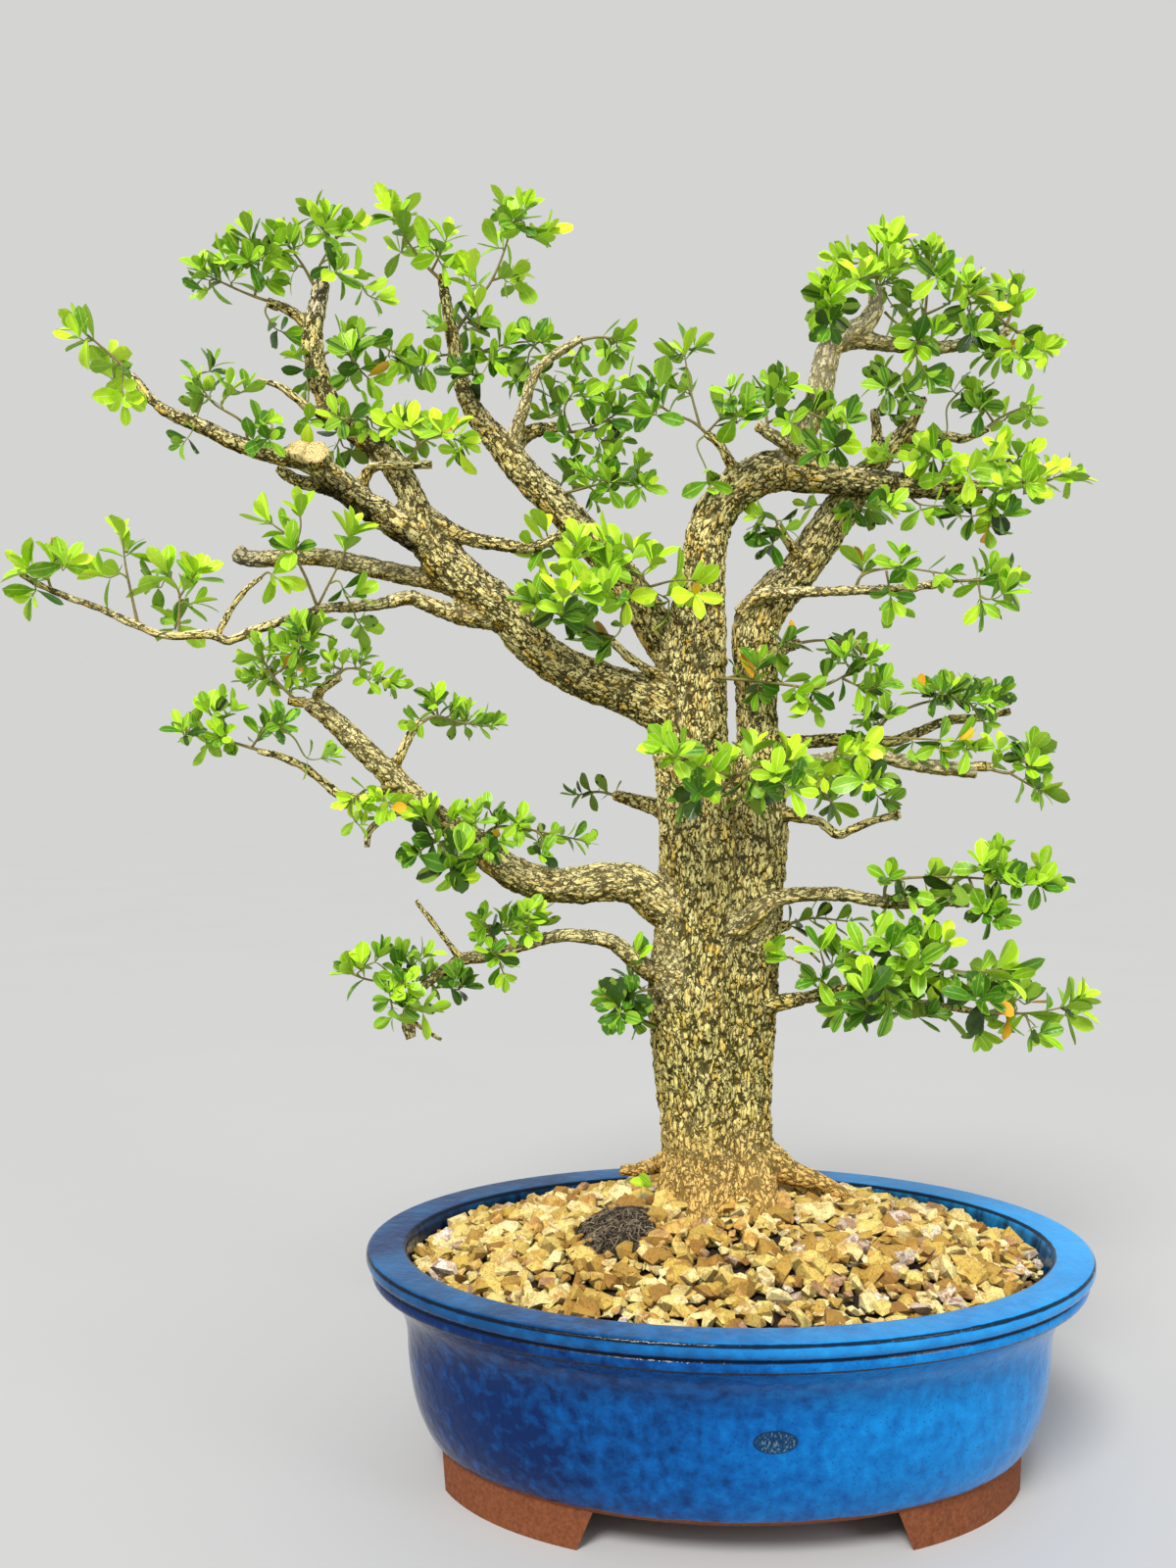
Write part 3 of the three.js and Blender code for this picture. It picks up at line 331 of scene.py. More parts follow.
@dataclass(frozen=True)
class BarkFinish:
    """Netted bark: pale plates between dark fissures that run along the limb."""

    name: str = "bark"
    plate_width: float = 3.7
    plate_length: float = 12.5
    chip_width: float = 1.6
    chip_length: float = 5.6
    thread_width: float = 2.2
    thread_length: float = 13.0
    relief_depth: float = 0.0011
    # Heights in metres between which moss, the tan foot, and the pale upper limbs, whose tops also get
    # painted light, set in.
    moss_heights: tuple = (0.56, 0.24)
    foot_heights: tuple = (0.24, 0.17)
    bleached_and_lit_heights: tuple = (0.4, 0.6)
    plates: tuple = (tint(150, 102, 30), tint(255, 208, 72), tint(255, 240, 158))
    # Near black of the fissures, also used as painted shade under limbs and in the hollows and pits.
    fissure: tuple = tint(6, 4, 2)
    moss: tuple = tint(186, 178, 40)
    foot: tuple = tint(255, 196, 96)
    # Pale of weather-whitened wood, also used as painted light on the tops of the upper limbs.
    bleached_and_lit: tuple = tint(255, 240, 198)
    cut_wood: tuple = tint(250, 224, 156)
    heart_wood: tuple = tint(150, 104, 56)
    # Places as seen: the sawn scar, the hollows and pits that get painted shade, and peeled tips with their
    # two reaches in metres.
    scar: Point = (-270, 641, -46)
    hollows: tuple = ((-256, 606, -36), (-240, 594, -30), (-214, 572, -26))
    pits: tuple = ((9, 370, -22), (4, 211, -30), (-44, 292, -10), (-6, 404, -26), (14, 400, -24))
    peeled: tuple = (
        (-259, 738, -16, 0.005, 0.011), (-262, 730, -16, 0.005, 0.011), (-309, 572, 8, 0.007, 0.024),
    )

    def cracks(self, g: Graph) -> tuple[Value, Value]:
        """Lays the net of cracks over the limb.

        Args:
            g: The material's graph.

        Returns:
            How deep the crack is from 0 to 1, and a random number for each plate.
        """
        grain = g.vector("grain")
        plate_size = (self.plate_width, self.plate_width, self.plate_length)
        edge, plate_id = g.cells(g.scaled(g.warped(grain, 0.34, 4.6), plate_size), 1.0)
        chip_size = (self.chip_width, self.chip_width, self.chip_length)
        chip_edge, chip_id = g.cells(g.scaled(g.warped(grain, 0.8, 1.6), chip_size), 1.0)
        thread_size = (self.thread_width, self.thread_width, self.thread_length)
        threads = abs(g.cloud(g.scaled(grain, thread_size), 1.0, 2) - 0.5).rise(0.05, 0.006)
        patches = g.cloud(grain, 0.3, 3)
        wide = g.cloud(grain, 0.13, 3).rise(0.4, 0.66)
        reach = patches.rise(0.3, 0.52) * (wide * 0.07 + 0.045) + 0.02
        net = (reach - edge).rise(0.0, 0.03).most(threads * patches.rise(0.66, 0.42))
        net = net.most(chip_edge.rise(0.12, 0.01) * 0.32).most(g.value("fissure").rise(0.3, 0.9) * 0.95)
        return net, plate_id * 0.5 + chip_id * 0.5

    def material(self) -> bpy.types.Material:
        """Builds the bark from the grain space and masks kept on the mesh.

        Returns:
            The material.
        """
        g = Graph(self.name)
        grain = g.vector("grain")
        net, plate_id = self.cracks(g)
        grit = g.cloud(grain, 1.2, 5, 0.75)
        broad = g.cloud(grain, 0.045, 3)
        up = g.facing_up()
        height = g.axes(g.place())[2]
        pale = g.value("pale")
        # Painted light: the plates are coloured lighter where the surface faces up and darker where it faces
        # down.
        tone = plate_id * 0.9 + grit * 1.1 + broad * 0.3 + up * 0.14 - 0.3
        color = g.ramp(tone, *zip((0.1, 0.46, 0.84), self.plates))
        mossy = height.rise(*self.moss_heights) * broad.rise(0.3, 0.6) * 0.42
        at_foot = height.rise(*self.foot_heights) * broad.rise(0.05, 0.45) * 0.8
        color = g.mix(mossy, color, self.moss)
        color = g.mix(at_foot, color, self.foot)
        # Partly real pale wood and peeled tips, partly painted light: upper limbs are coloured pale where
        # they face up, and pale limbs keep their darker colour on their undersides as painted shade.
        bleached_and_lit_tops = up.rise(0.0, 0.8) * height.rise(*self.bleached_and_lit_heights) * 0.85
        pale_and_lit = (pale * up.rise(-0.8, 0.2)).most(bleached_and_lit_tops)
        for *spot, full, none in self.peeled:
            pale_and_lit = pale_and_lit.most(g.near(spot, full, none))
        color = g.mix(pale_and_lit * 0.92, color, self.bleached_and_lit)
        color = g.mix(net * (0.97 - pale * 0.25) * (1 - at_foot * 0.2), color, self.fissure)
        # Painted shade: the undersides of limbs, the hollows and the pits are coloured towards the fissure
        # colour.
        shade = up.rise(-0.2, -0.95) * 0.6
        for spot in self.hollows:
            shade = shade.most(g.near(spot, 0.009, 0.024) * up.rise(0.75, 0.1) * 0.9)
        for spot in self.pits:
            shade = shade.most(g.near(spot, 0.003, 0.0085) * 0.85)
        color = g.mix(shade, color, self.fissure)
        rings = g.cloud(g.scaled(grain, (1, 1, 4)), 0.7, 3)
        cut = g.value("cut").rise(0.35, 0.65).most(g.near(self.scar, 0.0095, 0.0115))
        color = g.mix(cut, color, g.mix(rings.rise(0.56, 0.64), self.cut_wood, self.heart_wood))
        relief = (1 - net) * 0.8 + grit * 0.4
        return g.finish({
            "Base Color": color,
            "Roughness": 0.98 - tone.rise(0.3, 1.1) * 0.2,
            "Normal": g.bump(relief, 0.9, self.relief_depth),
            "Specular IOR Level": 0.03,
        })


@dataclass(frozen=True)
class LeafFinish:
    """Glossy blades with a pale midrib and margin, and a paler underside."""

    name: str = "leaf"
    old: tuple = tint(2, 36, 6)
    green: tuple = tint(58, 126, 2)
    fresh: tuple = tint(158, 212, 8)
    young: tuple = tint(210, 244, 36)
    edge: tuple = tint(238, 252, 136)
    back: tuple = tint(160, 196, 62)
    yellowed: tuple = tint(236, 170, 40)
    relief_depth: float = 0.0004

    def material(self) -> bpy.types.Material:
        """Builds the blade from the tone and the place on the blade kept on the mesh.

        Returns:
            The material.
        """
        g = Graph(self.name)
        across, along, under = g.axes(g.vector("blade"))
        tone = g.value("tone")
        grain = g.scaled(g.place(), (MM, MM, MM))
        mottle = g.cloud(grain, 0.35, 3)
        ages = ((0.0, self.old), (0.36, self.green), (0.68, self.fresh), (1.0, self.young))
        color = g.ramp(tone + mottle * 0.16 - 0.08, *ages)
        rib = abs(across).rise(0.13, 0.02)
        margin = abs(across).rise(0.8, 1.0)
        veins = ((abs(across) * 2.2 - along * 9) * 3.4).sine()
        color = g.mix(rib.most(margin) * tone.rise(0.0, 0.7) * 0.5 + 0.03, color, self.edge)
        color = g.mix(under * 0.5, color, self.back)
        color = g.mix(g.value("autumn"), color, self.yellowed)
        relief = veins * 0.12 + mottle * 0.5 - rib * 0.5
        return g.finish({
            "Base Color": color,
            "Roughness": under * 0.3 + mottle * 0.12 + tone.rise(0.2, 0.8) * 0.14 + 0.18,
            "Normal": g.bump(relief, 0.35, self.relief_depth),
            "Specular IOR Level": 0.24,
        })


@dataclass(frozen=True)
class StemFinish:
    """Thin stems: brown and ridged where old, green towards the tips."""

    name: str = "stem"
    woods: tuple = ((0.25, tint(70, 50, 30)), (0.55, tint(140, 112, 74)), (0.85, tint(188, 164, 120)))
    fresh: tuple = tint(142, 160, 60)
    relief_depth: float = 0.0004

    def material(self) -> bpy.types.Material:
        """Builds the stem from its grain space and how green it is.

        Returns:
            The material.
        """
        g = Graph(self.name)
        grain = g.vector("grain")
        grit = g.cloud(g.scaled(grain, (0.6, 0.6, 3.0)), 1.0, 3)
        return g.finish({
            "Base Color": g.mix(g.value("green"), g.ramp(grit, *self.woods), self.fresh),
            "Roughness": 0.85 - grit * 0.2,
            "Normal": g.bump(grit, 0.5, self.relief_depth),
        })


@dataclass(frozen=True)
class GlazeFinish:
    """Mottled blue glaze that thins to near black on edges, with painted shade in the grooves under the rim
    and on the inner wall, and stops above bare clay feet.
    """

    name: str = "glaze"
    glaze_end: float = 0.0265
    deep: tuple = tint(0, 34, 86)
    blue: tuple = tint(0, 86, 160)
    bright: tuple = tint(14, 146, 224)
    # Paler blue painted on the rim's top as a sheen of the sky.
    rim_sheen: tuple = tint(52, 164, 236)
    # Near black where the glaze thins on sharp edges; also painted shade in the grooves under the rim and on
    # the inner wall.
    edge: tuple = tint(8, 14, 26)
    clay: tuple = tint(136, 80, 50)
    dark_clay: tuple = tint(104, 58, 36)
    mottle_scale: float = 125.0
    lit_span: tuple = (-0.12, 0.36)
    rim_sheen_heights: tuple = (0.128, 0.135)
    relief_depth: float = 0.0018
    # The seal's x and z, and its half-length and half-height, in metres.
    seal: tuple = (0.1062, 0.0763)
    seal_size: tuple = (0.0121, 0.0064)
    seal_dark: tuple = tint(10, 40, 66)
    seal_pale: tuple = tint(96, 122, 124)

    def bare_seal(self, g: Graph) -> tuple[Value, bpy.types.NodeSocket]:
        """Places a small flecked oval, with no writing or sign on it, on the front of the wall.

        Args:
            g: The material's graph.

        Returns:
            The oval's mask and its colour.
        """
        along, away, height = g.axes(g.place())
        across = (along - self.seal[0]) * (1 / self.seal_size[0])
        upward = (height - self.seal[1]) * (1 / self.seal_size[1])
        off = across * across + upward * upward
        grain = g.cloud(g.scaled(g.place(), (1, 1, 1.6)), 900, 2)
        color = g.mix(grain.rise(0.5, 0.68) * off.rise(0.9, 0.7), self.seal_dark, self.seal_pale)
        return off.rise(1.1, 0.95) * away.rise(-0.08, -0.1), color

    def material(self) -> bpy.types.Material:
        """Builds the glaze from the place on the pot, how sharp its edges are, and painted shade in the
        grooves under its rim and on its inner wall.

        Returns:
            The material.
        """
        g = Graph(self.name)
        place = g.place()
        along, _, height = g.axes(place)
        spots = g.cloud(g.warped(place, 80, 0.005), self.mottle_scale, 4, 0.56)
        drift = g.cloud(g.scaled(place, (1, 1, 0.6)), 11, 2)
        runs = g.cloud(g.scaled(place, (1, 1, 9)), 160, 2)
        specks = g.cloud(place, 700, 1)
        # Painted light: the glaze is coloured brighter towards the right side of the pot.
        lit = along.rise(*self.lit_span)
        tone = spots * 0.5 + drift * 0.2 + runs * 0.1 + lit * 0.56 - 0.17
        color = g.ramp(tone, (0.26, self.deep), (0.46, self.blue), (0.84, self.bright))
        color = g.mix(specks.rise(0.6, 0.7) * 0.4, color, self.deep)
        # Painted reflection: the rim's top is coloured a paler, brighter blue as a sheen of the sky, stronger
        # on the right.
        rim_sheen_mask = height.rise(*self.rim_sheen_heights) * (lit * 0.35 + drift.rise(0.3, 0.7) * 0.3)
        color = g.mix(rim_sheen_mask, color, self.rim_sheen)
        # Thinned glaze on sharp edges, and painted shade in the grooves under the rim and on the inner wall,
        # darken the colour towards near black here.
        worn_and_shaded = g.value("edge") * 1.15 + runs * 0.5 - 0.42
        color = g.mix(worn_and_shaded.rise(0.2, 0.65) * 0.95, color, self.edge)
        drip = g.cloud(g.scaled(place, (1, 1, 30)), 45, 2)
        bare = (height + drip * 0.004 - 0.002).rise(self.glaze_end + 0.0006, self.glaze_end - 0.0006)
        clay = g.ramp(g.cloud(place, 420, 4), (0.3, self.dark_clay), (0.7, self.clay))
        color = g.mix(bare, color, clay)
        seal, seal_color = self.bare_seal(g)
        color = g.mix(seal * 0.85, color, seal_color)
        relief = spots + drift * 0.5 + runs * 0.1 - seal * 0.6
        return g.finish({
            "Base Color": color,
            "Roughness": bare * 0.7 + spots * 0.06 + 0.06,
            "Normal": g.bump(relief, 0.4, self.relief_depth),
            "Specular IOR Level": 0.16,
        })


@dataclass(frozen=True)
class StoneFinish:
    """Crushed golden-tan stone with a few pink, grey and white pieces."""

    name: str = "stone"
    kinds: tuple = (
        (0.0, tint(150, 106, 44)), (0.22, tint(210, 176, 80)), (0.5, tint(238, 216, 124)),
        (0.76, tint(252, 240, 180)), (0.88, tint(226, 182, 86)), (0.955, tint(160, 124, 112)),
        (0.985, tint(248, 242, 226)),
    )
    rust: tuple = tint(182, 126, 48)
    # Dark brown of grime specks, also painted shade on the sides of stones that face down.
    grime_and_shade: tuple = tint(84, 60, 30)
    shade: tuple = tint(40, 27, 15)
    relief_depth: float = 0.0012

    def material(self) -> bpy.types.Material:
        """Builds the stone from a random number kept for each piece.

        Returns:
            The material.
        """
        g = Graph(self.name)
        pick = g.value("pick")
        place = g.place()
        stain = g.cloud(place, 150, 5, 0.7)
        grit = g.cloud(place, 800, 4, 0.75)
        color = g.ramp(pick + stain * 0.3 - 0.15, *self.kinds)
        color = g.mix(stain.rise(0.48, 0.6) * 0.6, color, self.rust)
        color = g.mix(grit.rise(0.5, 0.66) * 0.6, color, self.grime_and_shade)
        # Painted shade: the sides of stones that face down are darkened.
        color = g.mix(g.facing_up().rise(0.35, -0.3) * 0.7, color, self.grime_and_shade)
        # Painted shade: the bed under the stones is near black in the gaps between them.
        color = g.mix(g.value("bed"), color, self.shade)
        return g.finish({
            "Base Color": color,
            "Roughness": 0.72 + grit * 0.2,
            "Normal": g.bump(grit + stain * 0.8, 0.8, self.relief_depth),
        })


@dataclass(frozen=True)
class EarthFinish:
    """Dark crumbly earth."""

    name: str = "earth"
    dark: tuple = tint(40, 28, 18)
    light: tuple = tint(96, 72, 46)
    crumb_scale: float = 500.0
    relief_depth: float = 0.001

    def material(self) -> bpy.types.Material:
        """Builds the crumbs from noise over the place.

        Returns:
            The material.
        """
        g = Graph(self.name)
        crumbs = g.cloud(g.place(), self.crumb_scale, 5, 0.7)
        return g.finish({
            "Base Color": g.ramp(crumbs, (0.3, self.dark), (0.72, self.light)),
            "Roughness": 0.98 - crumbs * 0.12,
            "Normal": g.bump(crumbs, 0.8, self.relief_depth),
        })


@dataclass(frozen=True)
class FibreFinish:
    """Matted thin roots, pale to brown, over near-black earth."""

    name: str = "fibre"
    earth: tuple = tint(20, 16, 13)
    dark: tuple = tint(46, 36, 28)
    light: tuple = tint(166, 148, 122)
    crumb_scale: float = 420.0
    relief_depth: float = 0.001

    def material(self) -> bpy.types.Material:
        """Builds the roots' colours from a random number kept for each of them.

        Returns:
            The material.
        """
        g = Graph(self.name)
        crumbs = g.cloud(g.place(), self.crumb_scale, 5, 0.7)
        roots = g.ramp(g.value("pick") + crumbs * 0.3 - 0.15, (0.1, self.dark), (1.0, self.light))
        ground = g.mix(crumbs.rise(0.4, 0.8) * 0.4, self.earth, self.dark)
        return g.finish({
            "Base Color": g.mix(g.value("root"), ground, roots),
            "Roughness": 0.98 - crumbs * 0.12,
            "Normal": g.bump(crumbs, 0.8, self.relief_depth),
        })


@dataclass(frozen=True)
class FloorFinish:
    """Plain pale floor with a faint unevenness."""

    name: str = "floor"
    dull: tuple = tint(183, 184, 186)
    light: tuple = tint(185, 186, 188)

    def material(self) -> bpy.types.Material:
        """Builds the floor's colour and sheen from soft noise.

        Returns:
            The material.
        """
        g = Graph(self.name)
        haze = g.cloud(g.place(), 3, 3)
        return g.finish({
            "Base Color": g.ramp(haze, (0.2, self.dull), (0.8, self.light)),
            "Roughness": 0.9 + haze * 0.1,
            "Specular IOR Level": 0.0,
        })


# Meshes


class Shape:
    """Gathers the vertices, faces and values of one mesh, in millimetres from ORIGIN."""

    def __init__(self) -> None:
        """Starts with nothing."""
        self.points: list[np.ndarray] = []
        self.faces: list[list[int]] = []
        self.values: dict[str, list[np.ndarray]] = {}
        self.count = 0

    def add(self, points: np.ndarray, faces: list, **values: np.ndarray) -> None:
        """Adds one body.

        Args:
            points: Its vertices, one a row.
            faces: Its faces, as numbers of those vertices.
            values: Numbers or vectors at its vertices; a single number holds for all of them.
        """
        self.points.append(points)
        self.faces.extend([corner + self.count for corner in face] for face in faces)
        for name, value in values.items():
            whole = np.asarray(value, float)
            if whole.ndim == 0:
                whole = np.full(len(points), float(value))
            self.values.setdefault(name, []).append(whole)
        self.count += len(points)

    def build(self, name: str, smooth: bool = True) -> bpy.types.Object:
        """Makes the mesh object in the row frame.

        Args:
            name: The object's name.
            smooth: Whether its faces are shaded as one smooth surface.

        Returns:
            The object, linked to the scene.
        """
        mesh = bpy.data.meshes.new(name)
        rows = np.concatenate(self.points) * MM + np.array(ORIGIN)
        mesh.from_pydata(rows.tolist(), [], self.faces)
        for key, blocks in self.values.items():
            whole = np.concatenate(blocks)
            kind, slot = ("FLOAT_VECTOR", "vector") if whole.ndim == 2 else ("FLOAT", "value")
            layer = mesh.attributes.new(key, kind, "POINT")
            layer.data.foreach_set(slot, whole.astype(np.float32).ravel())
        if smooth:
            mesh.shade_smooth()
        else:
            mesh.shade_flat()
        made = bpy.data.objects.new(name, mesh)
        bpy.context.scene.collection.objects.link(made)
        return made


def dress(made: bpy.types.Object, material: bpy.types.Material, nodes: list[str]) -> None:
    """Finishes a piece of the object and sets it on the frame.

    Args:
        made: The piece.
        material: Its finish.
        nodes: The CAD nodes that it stands for.
    """
    made.data.materials.append(material)
    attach(made, "root")
    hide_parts(*nodes)
    triangles = sum(len(face.vertices) - 2 for face in made.data.polygons)
    log.info("%s: %d triangles", made.name, triangles)


@dataclass(frozen=True)
class Ring:
    """One cross-section of a limb, in millimetres from ORIGIN."""

    centre: Vector
    along: Vector
    across: Vector
    side: Vector
    radius: float
    distance: float


def rings_along(points: list[Point], spacing: float, is_seen: bool = True) -> list[Ring]:
    """Follows a smooth curve through points of x, z, y and radius.

    Args:
        points: The points, as seen from the front or in true places.
        spacing: The distance between rings.
        is_seen: Whether the points are written as seen.

    Returns:
        The rings from foot to tip.
    """
    rows = []
    for x, z, y, radius in points:
        reach = (y - EYE.y) / -EYE.y if is_seen else 1
        rows.append([*(seen(x, z, y) if is_seen else (x, y, z)), radius * reach])
    knots = np.array([2 * np.array(rows[0]) - rows[1], *rows, 2 * np.array(rows[-1]) - rows[-2]])
    samples = []
    for a, b, c, d in zip(knots, knots[1:], knots[2:], knots[3:]):
        steps = max(1, round(float(np.linalg.norm((c - b)[:3])) / spacing))
        for t in np.arange(steps) / steps:
            bend, twist = 2 * a - 5 * b + 4 * c - d, 3 * b - a - 3 * c + d
            samples.append((2 * b + (c - a) * t + bend * t**2 + twist * t**3) / 2)
    samples.append(knots[-2])
    rings = []
    across = Vector((0.1, 1, 0.05))
    distance = 0.0
    for k, row in enumerate(samples):
        centre = Vector(row[:3])
        before = Vector(samples[max(k - 1, 0)][:3])
        after = Vector(samples[min(k + 1, len(samples) - 1)][:3])
        along = (after - before).normalized()
        across = (across - along * across.dot(along)).normalized()
        distance += (centre - before).length
        rings.append(Ring(centre, along, across, across.cross(along), max(float(row[3]), 0.2), distance))
    return rings


def tube(rings: list[Ring], sides: int, uneven: float = 0.0) -> tuple[np.ndarray, list, np.ndarray]:
    """Skins rings with a closed tube.

    Args:
        rings: The rings from foot to tip.
        sides: How many sides it has.
        uneven: How far its radius varies, as a share.

    Returns:
        Its vertices, its faces, and each vertex's place in the space of the limb's grain.
    """
    points = []
    grain = []
    for ring in rings:
        for k in range(sides):
            turn = math.tau * k / sides
            flat = ring.across * math.cos(turn) + ring.side * math.sin(turn)
            lumps = noise.noise((ring.centre + flat * ring.radius) * 0.16) * uneven
            points.append(ring.centre + flat * ring.radius * (1 + lumps))
            grain.append((ring.radius * math.cos(turn), ring.radius * math.sin(turn), ring.distance))
    faces = []
    for k in range(len(rings) - 1):
        for j in range(sides):
            a, b = k * sides + j, k * sides + (j + 1) % sides
            faces.append([a, a + sides, b + sides, b])
    faces.append(list(range(sides)))
    faces.append(list(range(len(points) - 1, len(points) - 1 - sides, -1)))
    return np.array(points), faces, np.array(grain)


# Wood


@dataclass(frozen=True)
class Limb:
    """One limb of the tree: points of x, z, y and radius as seen, and how it looks."""

    points: list[Point]
    pale: float = 0.15
    is_cut: bool = False


TRUNK = [
    Limb([
        (-16, 118, 6, 31), (-15, 150, 6, 33), (-15, 172, 6, 32), (-17, 196, 6, 27), (-20, 225, 6, 26.5),
        (-23, 262, 6, 28), (-24, 300, 6, 29.5), (-20, 350, 6, 27), (-21, 400, 6, 26.5), (-25, 440, 6, 24.5),
        (-27, 470, 5, 24), (-26, 500, 4, 22.5), (-23, 525, 3, 20), (-20, 548, 2, 15.5), (-16.5, 580, 1, 14),
        (-8, 602, 0, 13.4), (8, 617, 0, 13.4), (28, 625, 2, 13.4), (50, 622, 4, 11), (80, 619, 5, 9.5),
        (110, 616, 6, 8), (135, 614, 7, 7), (158, 613, 8, 6),
    ]),
    Limb([
        (8, 118, 4, 22), (8, 165, 4, 22), (9, 200, 4, 17), (10, 240, 3, 16), (11, 300, 2, 18),
        (15, 350, 2, 17.5), (18, 395, 3, 18), (17, 435, 5, 16), (16, 470, 8, 13.5), (15, 500, 10, 14.5),
        (15, 525, 12, 15), (26, 545, 14, 14), (41, 560, 16, 12.5), (55, 580, 18, 12.5), (69, 600, 20, 12),
        (84, 620, 22, 9), (100, 640, 24, 6.5), (114, 656, 26, 4), (122, 672, 28, 3),
    ]),
]

ROOTS = [
    Limb([(10, 202, 0, 11), (24, 189, 2, 11.5), (40, 180, 4, 8), (58, 174, 7, 5.6), (76, 163, 10, 4.6)]),
    Limb([(-26, 190, 2, 15), (-36, 168, -2, 12.5), (-46, 150, -6, 10), (-56, 134, -10, 8)]),
    Limb([(-14, 190, 0, 16), (-16, 168, -12, 15), (-18, 148, -24, 12), (-20, 130, -34, 9)]),
    Limb([(12, 192, 0, 13), (18, 168, -12, 12), (26, 146, -24, 9)]),
    Limb([(-12, 190, 22, 14), (-20, 172, 40, 9), (-26, 156, 56, 6)]),
    Limb([(-28, 198, 8, 9), (-42, 188, 18, 6.5), (-54, 184, 30, 5), (-70, 182, 42, 3.6)]),
]

